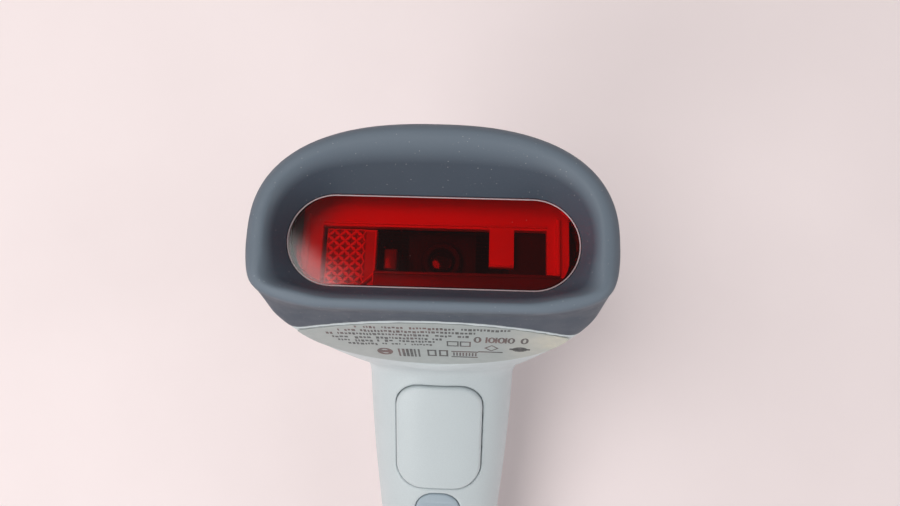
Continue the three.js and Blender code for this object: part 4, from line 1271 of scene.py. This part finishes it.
dress(objective, LENS_GLASS, "clear", "objective_lens")
dress(plunger, AMBER, "amber_plastic", "switch_plunger", body="plunger")
dress(pin, STEEL, "steel", "trigger_pin")
dress(spring, STEEL, "steel", "trigger_spring")
for node, screw in screws.items():
    dress(screw, STEEL, "steel", node)

# CAD nodes that only need softer edges: the piece's name, the edge in millimetres, and the looks.
for node, (name, edge, material, slot) in {
    "lens_holder": ("lens_carrier", 0.4, MATT_BLACK, "black_plastic"),
    "illumination_board": ("led_board", 0.1, BOARD, "circuit_board"),
    "line_sensor": ("image_sensor", 0.2, BLACK, "black_plastic"),
    "illumination_led_1": ("lamp_1", 0.25, LED, "led"),
    "illumination_led_2": ("lamp_2", 0.25, LED, "led"),
    "cable_socket": ("socket", 0.25, BLACK, "black_plastic"),
    "socket_contacts": ("contacts", 0.08, GOLD, "gold"),
    "beeper": ("sounder", 0.3, BLACK, "black_plastic"),
    "trigger_switch": ("switch_body", 0.2, BLACK, "black_plastic"),
}.items():
    dress(bevelled(node, name, edge), material, slot, node)

# CAD nodes that are shown as they are, deep inside.
for node, material in {
    "main_board": BOARD,
    "sensor_board": BOARD,
    "decoder_chip": BLACK,
    "memory_chip": BLACK,
    "sensor_connector": BLACK,
    "board_connector": BLACK,
    "status_led": LED,
    "ribbon_cable": RIBBON,
}.items():
    nodes[node].data.materials.clear()
    nodes[node].data.materials.append(material)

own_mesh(spring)


# ---- Floor, lights and camera ------------------------------------------------------------------
def floor():
    mesh = bpy.data.meshes.new("floor")
    far = 4
    corners = [(-far, -far, 0), (far, -far, 0), (far, far, 0), (-far, far, 0)]
    mesh.from_pydata(corners, [], [(0, 1, 2, 3)])
    obj = mesh_object("floor", mesh)
    s = Surface("pale_floor")
    colour = s.mix(s.drift(60), srgb(0xF2E4E4), srgb(0xF5E7E7))
    mesh.materials.append(s.principled(colour, 0.8))


def disc_light(name, at, radius, radiance, colour, target=(0, 0.04, 0.08)):
    """A round studio lamp in metres whose face has this radiance, hidden from the camera."""
    lamp = bpy.data.lights.new(name, "AREA")
    lamp.shape, lamp.size = "DISK", 2 * radius
    lamp.energy = radiance * math.pi * math.pi * radius**2
    lamp.color = colour
    obj = mesh_object(name, lamp)
    obj.location = at
    obj.rotation_euler = (Vector(target) - Vector(at)).to_track_quat("-Z", "Y").to_euler()
    obj.visible_camera = False


def studio_world():
    """Soft surroundings, bright towards the horizon, darker overhead and behind the head."""
    world = bpy.data.worlds.new("studio")
    bpy.context.scene.world = world
    world.use_nodes = True
    tree = world.node_tree

    def ranged(value, numbers):
        made = tree.nodes.new("ShaderNodeMapRange")
        for key, number in zip(("From Min", "From Max", "To Min", "To Max"), numbers):
            made.inputs[key].default_value = number
        tree.links.new(value, made.inputs["Value"])
        return made.outputs["Result"]

    place = tree.nodes.new("ShaderNodeTexCoord")
    towards = tree.nodes.new("ShaderNodeSeparateXYZ")
    tree.links.new(place.outputs["Generated"], towards.inputs["Vector"])
    both = tree.nodes.new("ShaderNodeMath")
    both.operation = "MULTIPLY"
    tree.links.new(ranged(towards.outputs["Z"], (0.35, 0.85, 1.05, 0.2)), both.inputs[0])
    tree.links.new(ranged(towards.outputs["Y"], (-0.1, 0.7, 1.0, 0.4)), both.inputs[1])
    background = tree.nodes["Background"]
    tree.links.new(both.outputs[0], background.inputs["Strength"])
    background.inputs["Color"].default_value = (1.0, 0.985, 0.975, 1)


floor()
studio_world()
LAMP_WHITE, SKY_WHITE = (1, 0.99, 0.98), (0.9, 0.96, 1)
disc_light("key", (-0.315, 0.177, 0.70), 0.238, 4.6, LAMP_WHITE)
disc_light("side", (-0.4, -0.42, 0.62), 0.26, 2.7, LAMP_WHITE)
disc_light("fill", (0.7, 0.0, 0.6), 0.3, 1.3, SKY_WHITE)

CAMERA_AT = (7.55, 61.11, 256.86)  # millimetres, looking almost straight down
CAMERA_TURN = (0.343, 1.635, 1.577)  # degrees about X, Y and Z
camera_data = bpy.data.cameras.new("camera")
camera_data.sensor_width = 36
camera_data.lens = 26.44
camera_data.clip_start = 0.005
camera = mesh_object("camera", camera_data)
camera.location = Vector(CAMERA_AT) * MM
camera.rotation_euler = Euler([math.radians(a) for a in CAMERA_TURN])
bpy.context.scene.camera = camera
bpy.context.scene.view_settings.view_transform = "Standard"
